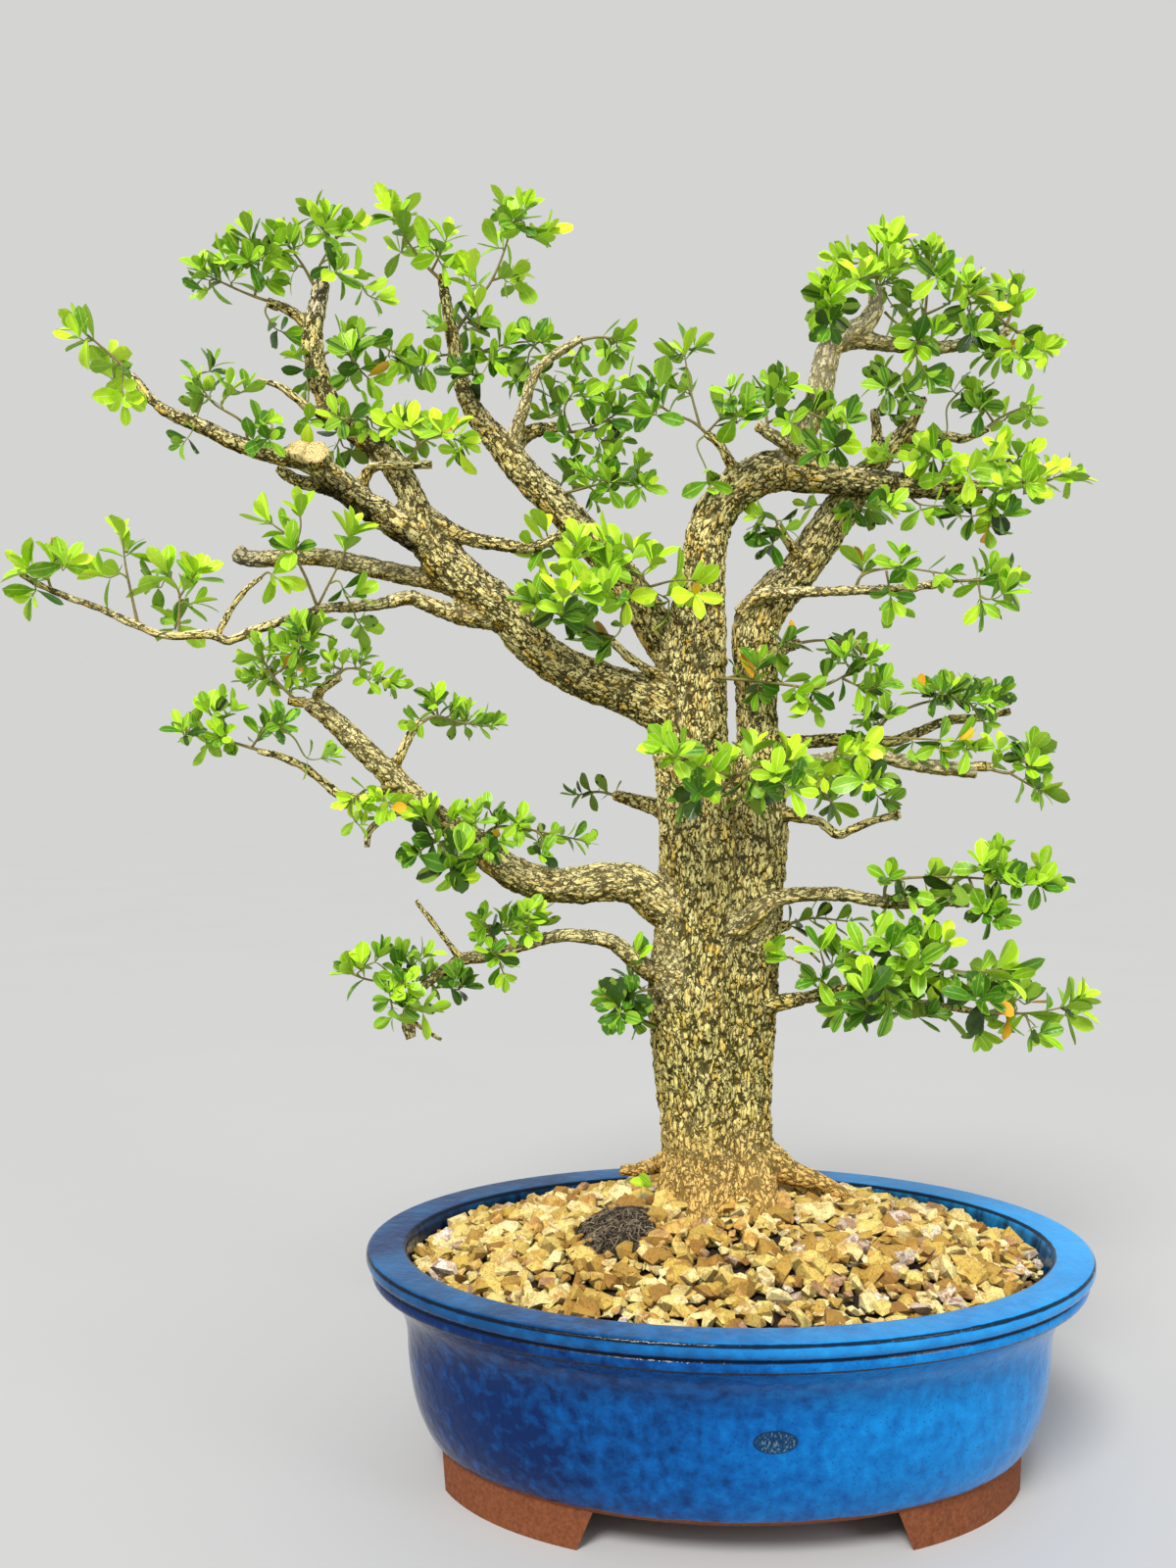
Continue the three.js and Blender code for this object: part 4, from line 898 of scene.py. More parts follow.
LIMBS = [
    # Lower left diagonal and the left crown that rises from it.
    Limb([
        (-24, 462, 4, 18), (-50, 478, 2, 17), (-70, 486, 0, 14.5), (-90, 493, -3, 14), (-110, 503, -6, 13.5),
        (-127, 517, -9, 13.5), (-141, 534, -12, 14), (-157, 546, -14, 14), (-175, 561, -16, 14),
        (-190, 578, -18, 12.5), (-199, 596, -20, 10.5), (-205, 613, -20, 9), (-215, 630, -19, 9),
        (-230, 644, -17, 8), (-246, 656, -15, 7.5), (-257, 672, -13, 7.5), (-263, 691, -12, 7),
        (-266, 710, -11, 7), (-263, 728, -10, 6), (-259, 746, -9, 5),
    ]),
    # Limb to the far left, past the pruning scar.
    Limb([
        (-185, 574, -20, 10), (-215, 593, -25, 10), (-235, 606, -29, 9.5), (-252, 620, -33, 9),
        (-267, 632, -36, 8.5), (-283, 634, -38, 6.2), (-300, 638, -39, 5.7), (-318, 645, -40, 5.4),
        (-336, 654, -41, 5), (-352, 660, -42, 4.5), (-366, 669, -43, 3.6), (-380, 686, -44, 2.4),
    ]),
    # Upper diagonal to the left peak.
    Limb([
        (-26, 500, 8, 15), (-45, 520, 12, 13.5), (-60, 544, 16, 12), (-77, 567, 20, 11), (-96, 589, 24, 10.5),
        (-115, 608, 28, 10.5), (-133, 626, 31, 9.8), (-150, 646, 33, 8.4), (-164, 664, 34, 6.8),
        (-172, 684, 35, 5.7), (-176, 705, 36, 5), (-180, 728, 36, 4), (-184, 750, 36, 3.2),
    ]),
    # Low left branch that turns up to a pruned end.
    Limb([
        (-24, 338, 4, 14), (-48, 352, 0, 13.5), (-62, 363, -4, 12.8), (-79, 365, -8, 12.8),
        (-100, 363, -12, 12), (-122, 365, -16, 11.5), (-140, 372, -20, 11), (-156, 384, -23, 10),
        (-172, 396, -26, 8.5),
        (-190, 409, -29, 7.8), (-205, 422, -32, 7.8), (-222, 438, -34, 7.8), (-240, 455, -36, 7.4),
        (-256, 470, -38, 6.8), (-269, 479, -39, 5.2),
    ], pale=0.35, is_cut=True),
    # Lowest left branch.
    Limb([
        (-26, 302, 0, 9), (-50, 308, -6, 7.4), (-62, 316, -10, 6.2), (-74, 326, -13, 5.4), (-88, 330, -16, 5),
        (-106, 331, -18, 4.6), (-122, 328, -20, 4.2), (-142, 322, -22, 4), (-158, 318, -24, 4.4),
        (-171, 316, -26, 4.2), (-184, 308, -28, 3.6), (-196, 298, -30, 3.4), (-204, 287, -32, 3.1),
        (-206, 276, -33, 2.8), (-203, 266, -34, 3.2),
    ], pale=0.4),
    # Pale limb at the upper right, and its long level arm.
    Limb([
        (32, 626, 2, 9), (44, 648, -4, 9), (54, 668, -8, 9), (58, 688, -10, 8.6), (62, 702, -11, 8),
        (72, 711, -12, 7.5), (84, 718, -12, 6.6), (91, 729, -12, 5.6), (91, 742, -12, 4.6),
    ], pale=1.0),
    Limb([
        (64, 705, -11, 6.6), (82, 708, -10, 5.7), (104, 705, -9, 5), (126, 703, -8, 4.4), (150, 706, -7, 4),
        (166, 710, -6, 3.5), (175, 714, -6, 2.8),
    ], pale=0.7),
    # Pruning scar and stubs of the left limbs.
    Limb([(-262, 630, -36, 8), (-264, 638, -46, 9.5)], is_cut=True),
    Limb([(-273, 633, -38, 7), (-275, 641, -45, 8.5)], is_cut=True),
    Limb([(-246, 612, -29, 6), (-262, 616, -27, 5), (-275, 619, -26, 4.6), (-287, 627, -25, 3)]),
    Limb([(-236, 612, -28, 5), (-228, 627, -33, 3.6), (-210, 629, -36, 3.1), (-190, 629, -37, 2.5)]),
    Limb([
        (-194, 598, -20, 7), (-183, 591, -22, 5.8), (-167, 583, -24, 5.2), (-148, 579, -26, 4.8),
        (-125, 577, -28, 4), (-108, 585, -30, 2.8),
    ]),
    Limb([
        (-160, 548, -14, 8), (-190, 556, -10, 6.8), (-215, 561, -6, 6.6), (-240, 567, -2, 6.2),
        (-265, 571, 2, 5.8), (-290, 570, 6, 5.6), (-306, 570, 8, 5.6), (-314, 574, 9, 6.2),
    ], pale=0.5, is_cut=True),
    # Long thin branch to the far left.
    Limb([
        (-144, 532, -13, 9), (-172, 534, -18, 7), (-190, 540, -22, 5.6), (-204, 545, -25, 5.2),
        (-222, 541, -28, 4.2), (-240, 539, -31, 4), (-258, 538, -33, 3.4), (-278, 532, -35, 3),
        (-298, 526, -37, 3), (-318, 518, -38, 3), (-330, 522, -39, 2.8), (-345, 521, -40, 2.7),
        (-362, 522, -41, 2.6), (-380, 529, -42, 2.5),
        (-400, 538, -43, 2.3), (-422, 546, -44, 2.1), (-440, 554, -45, 2), (-450, 560, -45, 1.9),
    ], pale=0.35),
    Limb([(-326, 521, -39, 2), (-318, 536, -38, 1.8), (-308, 550, -37, 1.7), (-298, 558, -36, 1.3)]),
    Limb([(-268, 717, -11, 4.5), (-280, 727, -12, 3.6), (-294, 732, -14, 3)]),
    Limb([
        (-250, 659, -15, 4), (-262, 662, -18, 3.2), (-274, 670, -20, 3), (-286, 679, -22, 2.2),
        (-300, 683, -23, 1.6),
    ]),
    # Offshoots of the upper diagonal.
    Limb([
        (-135, 630, 31, 5.6), (-137, 648, 28, 4.6), (-132, 664, 25, 4.2), (-126, 684, 22, 3.7),
        (-118, 694, 20, 3.3), (-104, 704, 17, 2.8), (-95, 710, 15, 2.3),
    ], pale=0.6),
    Limb([(-140, 638, 32, 5), (-127, 650, 35, 5), (-110, 653, 38, 3.6)]),
    Limb([(-40, 494, -8, 5), (-54, 500, -14, 3.4), (-66, 508, -18, 3), (-78, 520, -22, 2.4)]),
    # Offshoots of the low left branch.
    Limb([(-264, 476, -38, 4.6), (-260, 487, -34, 3.2), (-248, 495, -30, 2.6)]),
    Limb([(-268, 478, -39, 4), (-281, 480, -41, 2.6)]),
    Limb([
        (-210, 427, -32, 4.4), (-232, 418, -37, 3.2), (-248, 420, -40, 3), (-258, 428, -41, 2.8),
        (-270, 437, -43, 2.7), (-285, 444, -45, 2.4), (-300, 448, -46, 2),
    ]),
    Limb([(-216, 434, -33, 4.6), (-209, 447, -30, 3.1), (-203, 459, -27, 2.6), (-197, 467, -25, 2.2)]),
    Limb([
        (-194, 408, -30, 4), (-210, 409, -34, 2.5), (-222, 404, -36, 2.3), (-230, 396, -38, 2.2),
        (-231, 387, -39, 2),
    ]),
    # Offshoots of the lowest left branch.
    Limb([(-172, 317, -26, 2.6), (-180, 327, -28, 1.8), (-190, 340, -30, 1.7), (-200, 353, -32, 1.4)]),
    Limb([(-204, 278, -33, 1.8), (-194, 271, -36, 1.2), (-184, 265, -38, 1)]),
    Limb([(-146, 322, -22, 1.8), (-152, 332, -24, 1.1), (-158, 341, -25, 0.9)]),
    Limb([(-120, 329, -20, 1.8), (-127, 338, -22, 1.1), (-134, 347, -23, 0.9)]),
    # Stubs and twigs of the curved top of the left trunk.
    Limb(
        [(60, 624, 2, 6), (44, 636, -9, 4.6), (30, 645, -14, 4.3), (15, 655, -17, 4.3)],
        pale=0.5, is_cut=True,
    ),
    Limb([(4, 620, -4, 5), (-6, 640, -10, 3), (-16, 649, -13, 2.6)]),
    Limb([(92, 632, 24, 5), (92, 650, 29, 3.6), (90, 664, 31, 2.8)]),
    Limb([(102, 644, 25, 5), (128, 648, 28, 3.3), (148, 646, 30, 2.7), (162, 652, 31, 2.2)]),
    Limb([(45, 568, 10, 5), (36, 580, 3, 3.2), (29, 591, -1, 2.6)]),
    # Level branches at the right, from the top down.
    Limb([
        (6, 534, 4, 7), (18, 546, -5, 5.2), (34, 548, -9, 4.3), (60, 549, -11, 3.6), (90, 550, -14, 3.2),
        (112, 551, -17, 2.8), (140, 555, -19, 2.2),
    ], pale=0.4),
    Limb([
        (20, 450, 9, 7), (50, 454, 14, 4.8), (74, 455, 17, 4.5), (100, 454, 19, 4), (118, 460, 21, 3.6),
        (136, 467, 22, 3.1), (155, 469, 23, 2.7), (176, 473, 24, 2.2),
    ]),
    Limb([
        (16, 432, -2, 8), (45, 440, -8, 5.6), (70, 443, -12, 5.2), (95, 444, -16, 5), (115, 440, -19, 5),
        (135, 437, -21, 5), (156, 435, -23, 5.2),
    ], pale=0.9, is_cut=True),
    Limb([(148, 438, -22, 3.6), (166, 438, -24, 2.5)]),
    Limb([
        (24, 412, -4, 7), (42, 406, -8, 4), (56, 403, -10, 3.2), (67, 395, -12, 3), (80, 400, -14, 2.8),
        (94, 405, -16, 2.6), (107, 408, -18, 2.6),
    ], is_cut=True),
    Limb([
        (0, 334, -10, 9), (14, 343, -16, 6.8), (27, 354, -18, 6), (45, 357, -20, 5.1), (70, 357, -22, 4.7),
        (100, 352, -24, 4.2), (128, 352, -26, 3.8), (150, 352, -27, 3),
    ], pale=0.4),
    Limb([
        (16, 286, -6, 8), (38, 290, -14, 5.2), (52, 293, -20, 4.2), (70, 297, -26, 3.5), (95, 298, -31, 3),
        (118, 302, -35, 2.4),
    ]),
    Limb([(70, 297, -26, 2.8), (100, 291, -24, 2.4), (130, 287, -22, 2.2), (154, 283, -20, 1.8)]),
    Limb([(22, 314, -14, 1.4), (34, 318, -18, 1), (46, 312, -20, 0.8)]),
    Limb([(24, 322, -14, 1.4), (36, 330, -18, 1), (46, 324, -20, 0.9), (56, 314, -22, 0.7)]),
    # Limbs that grow away from the viewer.
    Limb([(-4, 318, 20, 8), (14, 330, 44, 5.5), (36, 338, 66, 3.6)]),
    Limb([(-24, 400, 24, 9), (-48, 412, 48, 6), (-74, 420, 68, 3.8)]),
    Limb([(16, 500, 16, 8), (26, 510, 40, 5.5), (42, 516, 62, 3.6)]),
    Limb([(-78, 568, 22, 7), (-92, 580, 44, 4.6), (-104, 596, 60, 3.2)]),
]


@dataclass
class Wood:
    """Trunk, roots and limbs: a thick skin grown over them all, and thin branches on it."""

    seed: int = 61
    voxel: float = 1.38
    relax_rounds: int = 5
    thin_radius: float = 3.0
    thick_sides: int = 20
    thin_sides: int = 10
    ring_spacing: float = 2.5
    fissure_width: float = 4.0
    fissure_length: float = 12.0
    fissure_depth: float = 1.7
    fissure_gap: float = 0.22
    flute_width: float = 13.0
    flute_length: float = 80.0
    flute_share: float = 0.075
    cut_length: float = 1.2
    fork_height: float = 400.0
    left_edge: float = -44.0
    paths: list[tuple[Limb, list[Ring]]] = field(default_factory=list)
    rings: list[Ring] = field(default_factory=list)
    looks: list[Limb] = field(default_factory=list)
    lengths: list[float] = field(default_factory=list)
    tree: KDTree | None = None

    def lay_out(self) -> None:
        """Follows every limb and remembers its rings for later questions."""
        self.paths = [(limb, rings_along(limb.points, self.ring_spacing)) for limb in TRUNK + ROOTS + LIMBS]
        for limb, path in self.paths:
            self.rings.extend(path)
            self.looks.extend([limb] * len(path))
            self.lengths.extend([path[-1].distance] * len(path))
        self.tree = KDTree(len(self.rings))
        for k, ring in enumerate(self.rings):
            self.tree.insert(ring.centre, k)
        self.tree.balance()

    def nearest(self, point: Vector, count: int = 14) -> tuple[int, float]:
        """Finds the limb whose surface is nearest to a point.

        Args:
            point: The point.
            count: How many rings are looked at.

        Returns:
            The number of its nearest ring, and the distance to its surface, below 0 inside.
        """
        found = self.tree.find_n(point, count)
        best = min(found, key=lambda item: item[2] - self.rings[item[1]].radius * 1.1)
        return best[1], best[2] - self.rings[best[1]].radius

    def thick_skin(self) -> bpy.types.Object:
        """Grows one even skin over all thick limbs.

        Returns:
            The skin.
        """
        shape = Shape()
        for _, path in self.paths:
            thick = [ring for ring in path if ring.radius >= self.thin_radius]
            if len(thick) > 2:
                points, faces, _ = tube(thick, self.thick_sides)
                shape.add(points, faces)
        made = shape.build("trunk_and_limbs")
        remesh = made.modifiers.new("skin", "REMESH")
        remesh.mode = "VOXEL"
        remesh.voxel_size = self.voxel * MM
        relax = made.modifiers.new("relax", "SMOOTH")
        relax.factor = 0.5
        relax.iterations = self.relax_rounds
        grown = bpy.data.meshes.new_from_object(made.evaluated_get(bpy.context.evaluated_depsgraph_get()))
        made.modifiers.clear()
        made.data = grown
        return made

    def carve(self, made: bpy.types.Object) -> None:
        """Gives the skin its ridges and fissures, and keeps its grain space and masks.

        Args:
            made: The skin.
        """
        mesh = made.data
        count = len(mesh.vertices)
        rows, normals = np.empty((count, 3), np.float32), np.empty((count, 3), np.float32)
        mesh.vertices.foreach_get("co", rows.ravel())
        mesh.vertices.foreach_get("normal", normals.ravel())
        masks = {name: np.zeros(count, np.float32) for name in ("fissure", "pale", "cut")}
        grain = np.zeros((count, 3), np.float32)
        # Vector noise starts from another place at each run unless its seed is set.
        noise.seed_set(self.seed)
        for k in range(count):
            point = (Vector(rows[k]) - ORIGIN) / MM
            number, _ = self.nearest(point)
            ring, limb = self.rings[number], self.looks[number]
            off = point - ring.centre
            place = Vector((off.dot(ring.across), off.dot(ring.side), ring.distance + off.dot(ring.along)))
            bent = place + noise.noise_vector(place * 0.11) * 2.6
            wide, long = self.fissure_width, self.fissure_length
            near = noise.voronoi(Vector((bent.x / wide, bent.y / wide, bent.z / long)))[0]
            fissure = 1 - smooth_step(0.0, self.fissure_gap, near[1] - near[0])
            wide, long = self.flute_width, self.flute_length
            flutes = noise.noise(Vector((place.x / wide, place.y / wide, place.z / long)))
            lumps = noise.fractal(place * 0.12, 0.6, 2.0, 3)
            is_end = limb.is_cut and place.z > self.lengths[number] - self.cut_length
            depth = min(self.fissure_depth, 0.4 + ring.radius * 0.06)
            push = flutes * ring.radius * self.flute_share + lumps * depth * 0.7 - fissure * depth
            if is_end:
                push = -0.6 + lumps * 0.5
            rows[k] += normals[k] * push * MM
            grain[k] = place
            masks["fissure"][k] = 0 if is_end else fissure
            masks["pale"][k] = limb.pale
            masks["cut"][k] = 1 if is_end else 0
        mesh.vertices.foreach_set("co", rows.ravel())
        for name, values in masks.items():
            mesh.attributes.new(name, "FLOAT", "POINT").data.foreach_set("value", values)
        mesh.attributes.new("grain", "FLOAT_VECTOR", "POINT").data.foreach_set("vector", grain.ravel())
        mesh.shade_smooth()

    def thin_branches(self) -> bpy.types.Object:
        """Builds the thin ends of all limbs.

        Returns:
            The ends, as one piece.
        """
        shape = Shape()
        for limb, path in self.paths:
            first = next((k for k, ring in enumerate(path) if ring.radius < self.thin_radius), None)
            if first is None:
                continue
            rings = path[max(first - 3, 0):]
            points, faces, grain = tube(rings, self.thin_sides, 0.32)
            ends = np.array([limb.is_cut and g[2] > path[-1].distance - 0.5 for g in grain], float)
            shape.add(points, faces, grain=grain, pale=limb.pale, fissure=0.0, cut=ends)
        return shape.build("thin_branches")

    def part_of(
        self, skin: bpy.types.Object, name: str, belongs: Callable[[Vector], bool]
    ) -> bpy.types.Object:
        """Copies a part of the skin.

        Args:
            skin: The whole skin.
            name: The part's name.
            belongs: Tells whether a face with its middle there is in the part.

        Returns:
            The part.
        """
        made = bmesh.new()
        made.from_mesh(skin.data)
        others = [face for face in made.faces if not belongs((face.calc_center_median() - ORIGIN) / MM)]
        bmesh.ops.delete(made, geom=others, context="FACES")
        mesh = bpy.data.meshes.new(name)
        made.to_mesh(mesh)
        made.free()
        part = bpy.data.objects.new(name, mesh)
        bpy.context.scene.collection.objects.link(part)
        return part

    def build(self) -> None:
        """Builds and dresses all the wood."""
        self.lay_out()
        bark = BarkFinish().material()
        skin = self.thick_skin()
        self.carve(skin)
        high, left = self.fork_height, self.left_edge
        parts = {
            "trunk": lambda p: p.z <= high,
            "limbs_left": lambda p: p.z > high and p.x <= left,
            "limbs_right": lambda p: p.z > high and p.x > left,
        }
        for name, belongs in parts.items():
            dress(self.part_of(skin, name, belongs), bark, ["trunk_and_branches"])
        bpy.data.objects.remove(skin)
        dress(self.thin_branches(), bark, ["trunk_and_branches"])


# Foliage


class Tone(Enum):
    """How old the leaves of a spray are."""

    YOUNG = "leaves_young"
    GREEN = "leaves_green"
    OLD = "leaves_old"


class Side(Enum):
    """Which part of the tree a spray belongs to."""

    LEFT = "left"
    TOP = "top"
    RIGHT = "right"


@dataclass(frozen=True)
class Spray:
    """One leafy stem: its tone, its part of the tree, its runs of points x, z, y as seen, and tufts.

    A tuft is the box x, x, z, z as seen that twigs fan out into, then how much darker it is and how
    much nearer to the viewer. Where a spray has no tufts, leaf pairs follow its runs.
    """

    tone: Tone
    side: Side
    runs: tuple[tuple[Point, ...], ...]
    tufts: tuple[Point, ...] = ()
    leaf_size: float = 1.0


YOUNG, GREEN, OLD = Tone.YOUNG, Tone.GREEN, Tone.OLD
LEFT, TOP, RIGHT = Side.LEFT, Side.TOP, Side.RIGHT

SPRAYS = {
    "crown_left": Spray(GREEN, LEFT, (
        ((-288, 731, -13), (-308, 738, -16), (-334, 750, -18)),
        ((-302, 736, -15), (-300, 756, -22), (-306, 776, -26)),
    ), (
        (-344, -318, 734, 766), (-335, -296, 742, 772), (-326, -302, 762, 777), (-308, -280, 756, 778),
        (-302, -284, 742, 756, 0, 8), (-290, -278, 710, 722),
    )),
    "crown_top": Spray(YOUNG, LEFT, (
        ((-262, 738, -9), (-272, 756, -14), (-284, 772, -16)),
        ((-266, 746, -11), (-256, 764, -18), (-246, 778, -20)),
    ), (
        (-290, -262, 764, 784), (-274, -244, 768, 801), (-252, -231, 770, 794), (-246, -222, 742, 763),
        (-256, -242, 746, 760, 0.1, 10), (-232, -216, 730, 744),
        (-292, -272, 748, 764),
    ), 1.05),
    "crown_middle": Spray(GREEN, LEFT, (
        ((-264, 696, -12), (-248, 704, -20), (-228, 706, -26), (-212, 700, -28)),
        ((-246, 704, -21), (-236, 690, -30), (-228, 682, -32)),
        ((-246, 655, -20), (-240, 658, -28), (-230, 660, -32)),
    ), (
        (-254, -222, 698, 724), (-226, -196, 688, 708), (-252, -236, 678, 700), (-256, -220, 697, 714, 0, 16),
        (-282, -264, 692, 708), (-278, -262, 672, 692), (-240, -216, 646, 668), (-258, -240, 650, 672, 0, 14),
        (-276, -258, 652, 666), (-260, -232, 633, 650),
    ), 0.95),
    "peak_left": Spray(YOUNG, TOP, (
        ((-184, 746, 36), (-196, 758, 34), (-206, 772, 32), (-212, 786, 32)),
        ((-190, 752, 35), (-184, 764, 28), (-180, 774, 24)),
    ), (
        (-224, -198, 780, 803), (-220, -198, 760, 778), (-212, -176, 762, 782), (-194, -170, 748, 768),
    ), 1.1),
    "peak_right": Spray(YOUNG, TOP, (
        ((-177, 710, 36), (-166, 726, 40), (-152, 746, 42), (-143, 768, 44), (-139, 786, 44)),
        ((-152, 746, 42), (-138, 750, 46)), ((-168, 723, 39), (-160, 716, 26), (-162, 730, 20)),
    ), (
        (-156, -120, 776, 808), (-176, -156, 744, 768, 0, 6), (-136, -116, 766, 792, 0, 8),
        (-156, -140, 762, 784), (-130, -110, 765, 790), (-180, -154, 742, 766),
        (-152, -122, 737, 760), (-176, -154, 706, 740, 0.45), (-188, -175, 710, 727, 0.1),
    ), 1.22),
    "arm_upper": Spray(GREEN, TOP, (
        ((-173, 690, 36), (-160, 700, 40), (-140, 706, 44), (-118, 708, 46)),
        ((-160, 700, 40), (-186, 698, 54), (-200, 692, 58)),
    ), (
        (-215, -186, 682, 706), (-172, -134, 692, 716), (-186, -156, 683, 700, 0.3, 20),
        (-145, -112, 676, 700),
        (-136, -104, 701, 724, 0, 24), (-194, -178, 694, 712, 0.1, 10), (-146, -130, 702, 722, 0, 10),
    )),
    "arm_tip": Spray(GREEN, TOP, (((-100, 707, 16), (-84, 710, 12), (-70, 708, 8)),), (
        (-84, -62, 694, 714), (-104, -92, 694, 706),
    ), 0.95),
    "arm_low": Spray(GREEN, TOP, (
        ((-114, 652, 38), (-100, 650, 42), (-84, 655, 44), (-72, 662, 44)),
        ((-102, 650, 41), (-106, 664, 28), (-100, 676, 20)),
    ), (
        (-128, -104, 655, 688), (-100, -58, 650, 684), (-114, -86, 680, 693, 0, 10),
        (-114, -100, 640, 664, 0.1, 10), (-104, -62, 638, 656),
    ), 0.9),
    "arm_twig": Spray(GREEN, TOP, (
        ((-116, 608, 26), (-99, 613, 18), (-78, 618, 14), (-60, 618, 10)), ((-84, 617, 15), (-76, 634, 18)),
    ), (
        (-102, -70, 602, 640), (-86, -46, 610, 630), (-74, -50, 626, 640),
    ), 0.9),
    "far_left_top": Spray(YOUNG, LEFT, (
        ((-377, 682, -44), (-388, 694, -46), (-404, 708, -48), (-414, 716, -48)),
        ((-386, 692, -45), (-386, 676, -52)),
    ), (
        (-426, -404, 702, 722), (-406, -384, 690, 712), (-404, -386, 680, 698), (-392, -374, 664, 684),
    ), 1.1),
    "scar_limb": Spray(GREEN, LEFT, (
        ((-306, 640, -39), (-310, 656, -46), (-328, 668, -50), (-338, 682, -50)),
        ((-307, 650, -43), (-294, 656, -50)),
    ), (
        (-345, -326, 662, 690), (-336, -322, 686, 703), (-326, -300, 673, 687), (-310, -280, 640, 657),
        (-356, -334, 638, 651),
    ), 0.86),
    "scar_twig": Spray(YOUNG, LEFT, (
        ((-206, 629, -36), (-198, 642, -42), (-184, 648, -44), (-172, 644, -44)),
        ((-198, 642, -42), (-206, 656, -44)),
    ), (
        (-212, -186, 640, 666), (-192, -166, 638, 666), (-180, -166, 632, 646), (-220, -206, 648, 662),
        (-216, -196, 628, 646),
    )),
    "tip_shoot": Spray(YOUNG, LEFT, (
        ((-431, 550, -44), (-433, 560, -46), (-428, 570, -48)), ((-432, 556, -45), (-444, 562, -48)),
    ), (
        (-458, -438, 558, 574), (-438, -411, 560, 584), (-450, -438, 542, 556),
    ), 1.1),
    "tall_shoot": Spray(YOUNG, LEFT, (
        ((-376, 528, -42), (-380, 546, -44), (-384, 566, -46), (-386, 584, -48)),
    ), ((-408, -392, 552, 570), (-392, -372, 566, 590)), 1.15),
    "short_shoot": Spray(YOUNG, LEFT, (
        ((-350, 521, -40), (-350, 536, -42), (-350, 548, -43), (-358, 562, -44)),
        ((-350, 545, -43), (-340, 560, -46)),
        ((-300, 556, -36), (-294, 561, -38), (-288, 557, -41)),
    ), (
        (-376, -356, 544, 566), (-352, -332, 536, 556), (-346, -330, 554, 572), (-360, -344, 526, 540, 0.2),
    ), 1.1),
    "forked_shoot": Spray(YOUNG, LEFT, (
        ((-262, 538, -34), (-269, 556, -40), (-276, 573, -44), (-273, 590, -46), (-274, 600, -46)),
        ((-262, 540, -35), (-254, 556, -40), (-246, 572, -44), (-241, 588, -46)),
        ((-274, 580, -45), (-286, 588, -50), (-294, 594, -52)),
    ), (
        (-246, -224, 538, 563, 0.2), (-242, -224, 521, 537, 0.2), (-284, -270, 572, 584, 0.3),
        (-250, -232, 572, 596),
    ), 1.1),
    "shelf_left": Spray(GREEN, LEFT, (
        ((-276, 480, -40), (-288, 492, -44), (-296, 504, -48), (-300, 514, -50)),
        ((-290, 496, -45), (-276, 506, -54), (-268, 518, -58)),
    ), (
        (-316, -286, 484, 514), (-302, -262, 494, 526), (-286, -262, 516, 536), (-268, -252, 524, 540),
        (-290, -262, 482, 504),
    ), 0.78),
    "shelf_middle": Spray(GREEN, LEFT, (
        ((-252, 493, -31), (-244, 500, -24), (-230, 498, -18), (-216, 492, -16)),
        ((-246, 499, -26), (-256, 504, -16), (-254, 512, -14)),
    ), (
        (-264, -240, 492, 513), (-236, -204, 485, 503), (-246, -224, 502, 516),
    ), 0.74),
    "low_left_tip": Spray(GREEN, LEFT, (
        ((-292, 446, -45), (-308, 451, -48), (-326, 456, -50), (-346, 460, -52)),
        ((-304, 450, -47), (-296, 462, -56)), ((-324, 455, -50), (-326, 472, -46)),
    ), (
        (-360, -336, 458, 472), (-342, -308, 466, 488), (-340, -312, 448, 466), (-298, -274, 456, 480),
        (-334, -312, 448, 468, 0, 10), (-264, -248, 440, 452),
    ), 0.84),
    "low_left_rise": Spray(GREEN, LEFT, (
        ((-199, 464, -26), (-188, 470, -20), (-172, 466, -16), (-158, 464, -12)),
        ((-186, 469, -19), (-188, 482, -18)),
    ), (
        (-196, -180, 464, 490), (-188, -160, 460, 486), (-168, -143, 460, 476), (-206, -194, 462, 474),
    ), 0.82),
    "low_left_bright": Spray(YOUNG, LEFT, (
        ((-216, 424, -36), (-230, 424, -46), (-242, 416, -52)), ((-224, 424, -42), (-216, 412, -56)),
    ), (
        (-246, -224, 408, 426), (-232, -204, 408, 430), (-244, -230, 398, 410),
    ), 0.8),
    "low_left_old": Spray(OLD, LEFT, (
        ((-180, 398, -28), (-188, 392, -44), (-198, 384, -52)), ((-186, 393, -40), (-178, 372, -58)),
    ), (
        (-209, -184, 373, 396), (-198, -178, 380, 404, -0.1, 12), (-190, -164, 362, 382, -0.5),
        (-186, -160, 376, 398), (-206, -168, 392, 419, -0.28, 8),
        (-204, -184, 400, 416, -0.35, 8),
    ), 1.15),
    "low_left_long": Spray(GREEN, LEFT, (
        ((-160, 392, -24), (-148, 400, -18), (-128, 398, -12), (-98, 392, -7)),
        ((-148, 400, -18), (-154, 412, -24)),
    ), (
        (-178, -150, 394, 420, 0, 8), (-154, -126, 394, 416), (-134, -108, 386, 404), (-130, -112, 378, 394),
        (-100, -86, 386, 398), (-172, -138, 380, 400, 0.1, 16),
    ), 0.82),
    "lowest_tip": Spray(GREEN, LEFT, (
        ((-196, 299, -30), (-212, 301, -38), (-230, 303, -44), (-244, 308, -46)),
        ((-212, 301, -38), (-208, 318, -46)), ((-210, 301, -37), (-216, 290, -48), (-206, 286, -52)),
    ), (
        (-248, -226, 304, 322), (-232, -186, 300, 329), (-224, -198, 286, 312, 0, 8),
        (-222, -205, 275, 290), (-202, -182, 279, 295), (-190, -160, 296, 316, 0.3),
    ), 0.88),
    "lowest_middle": Spray(GREEN, LEFT, (
        ((-150, 321, -23), (-152, 332, -28), (-136, 340, -34)),
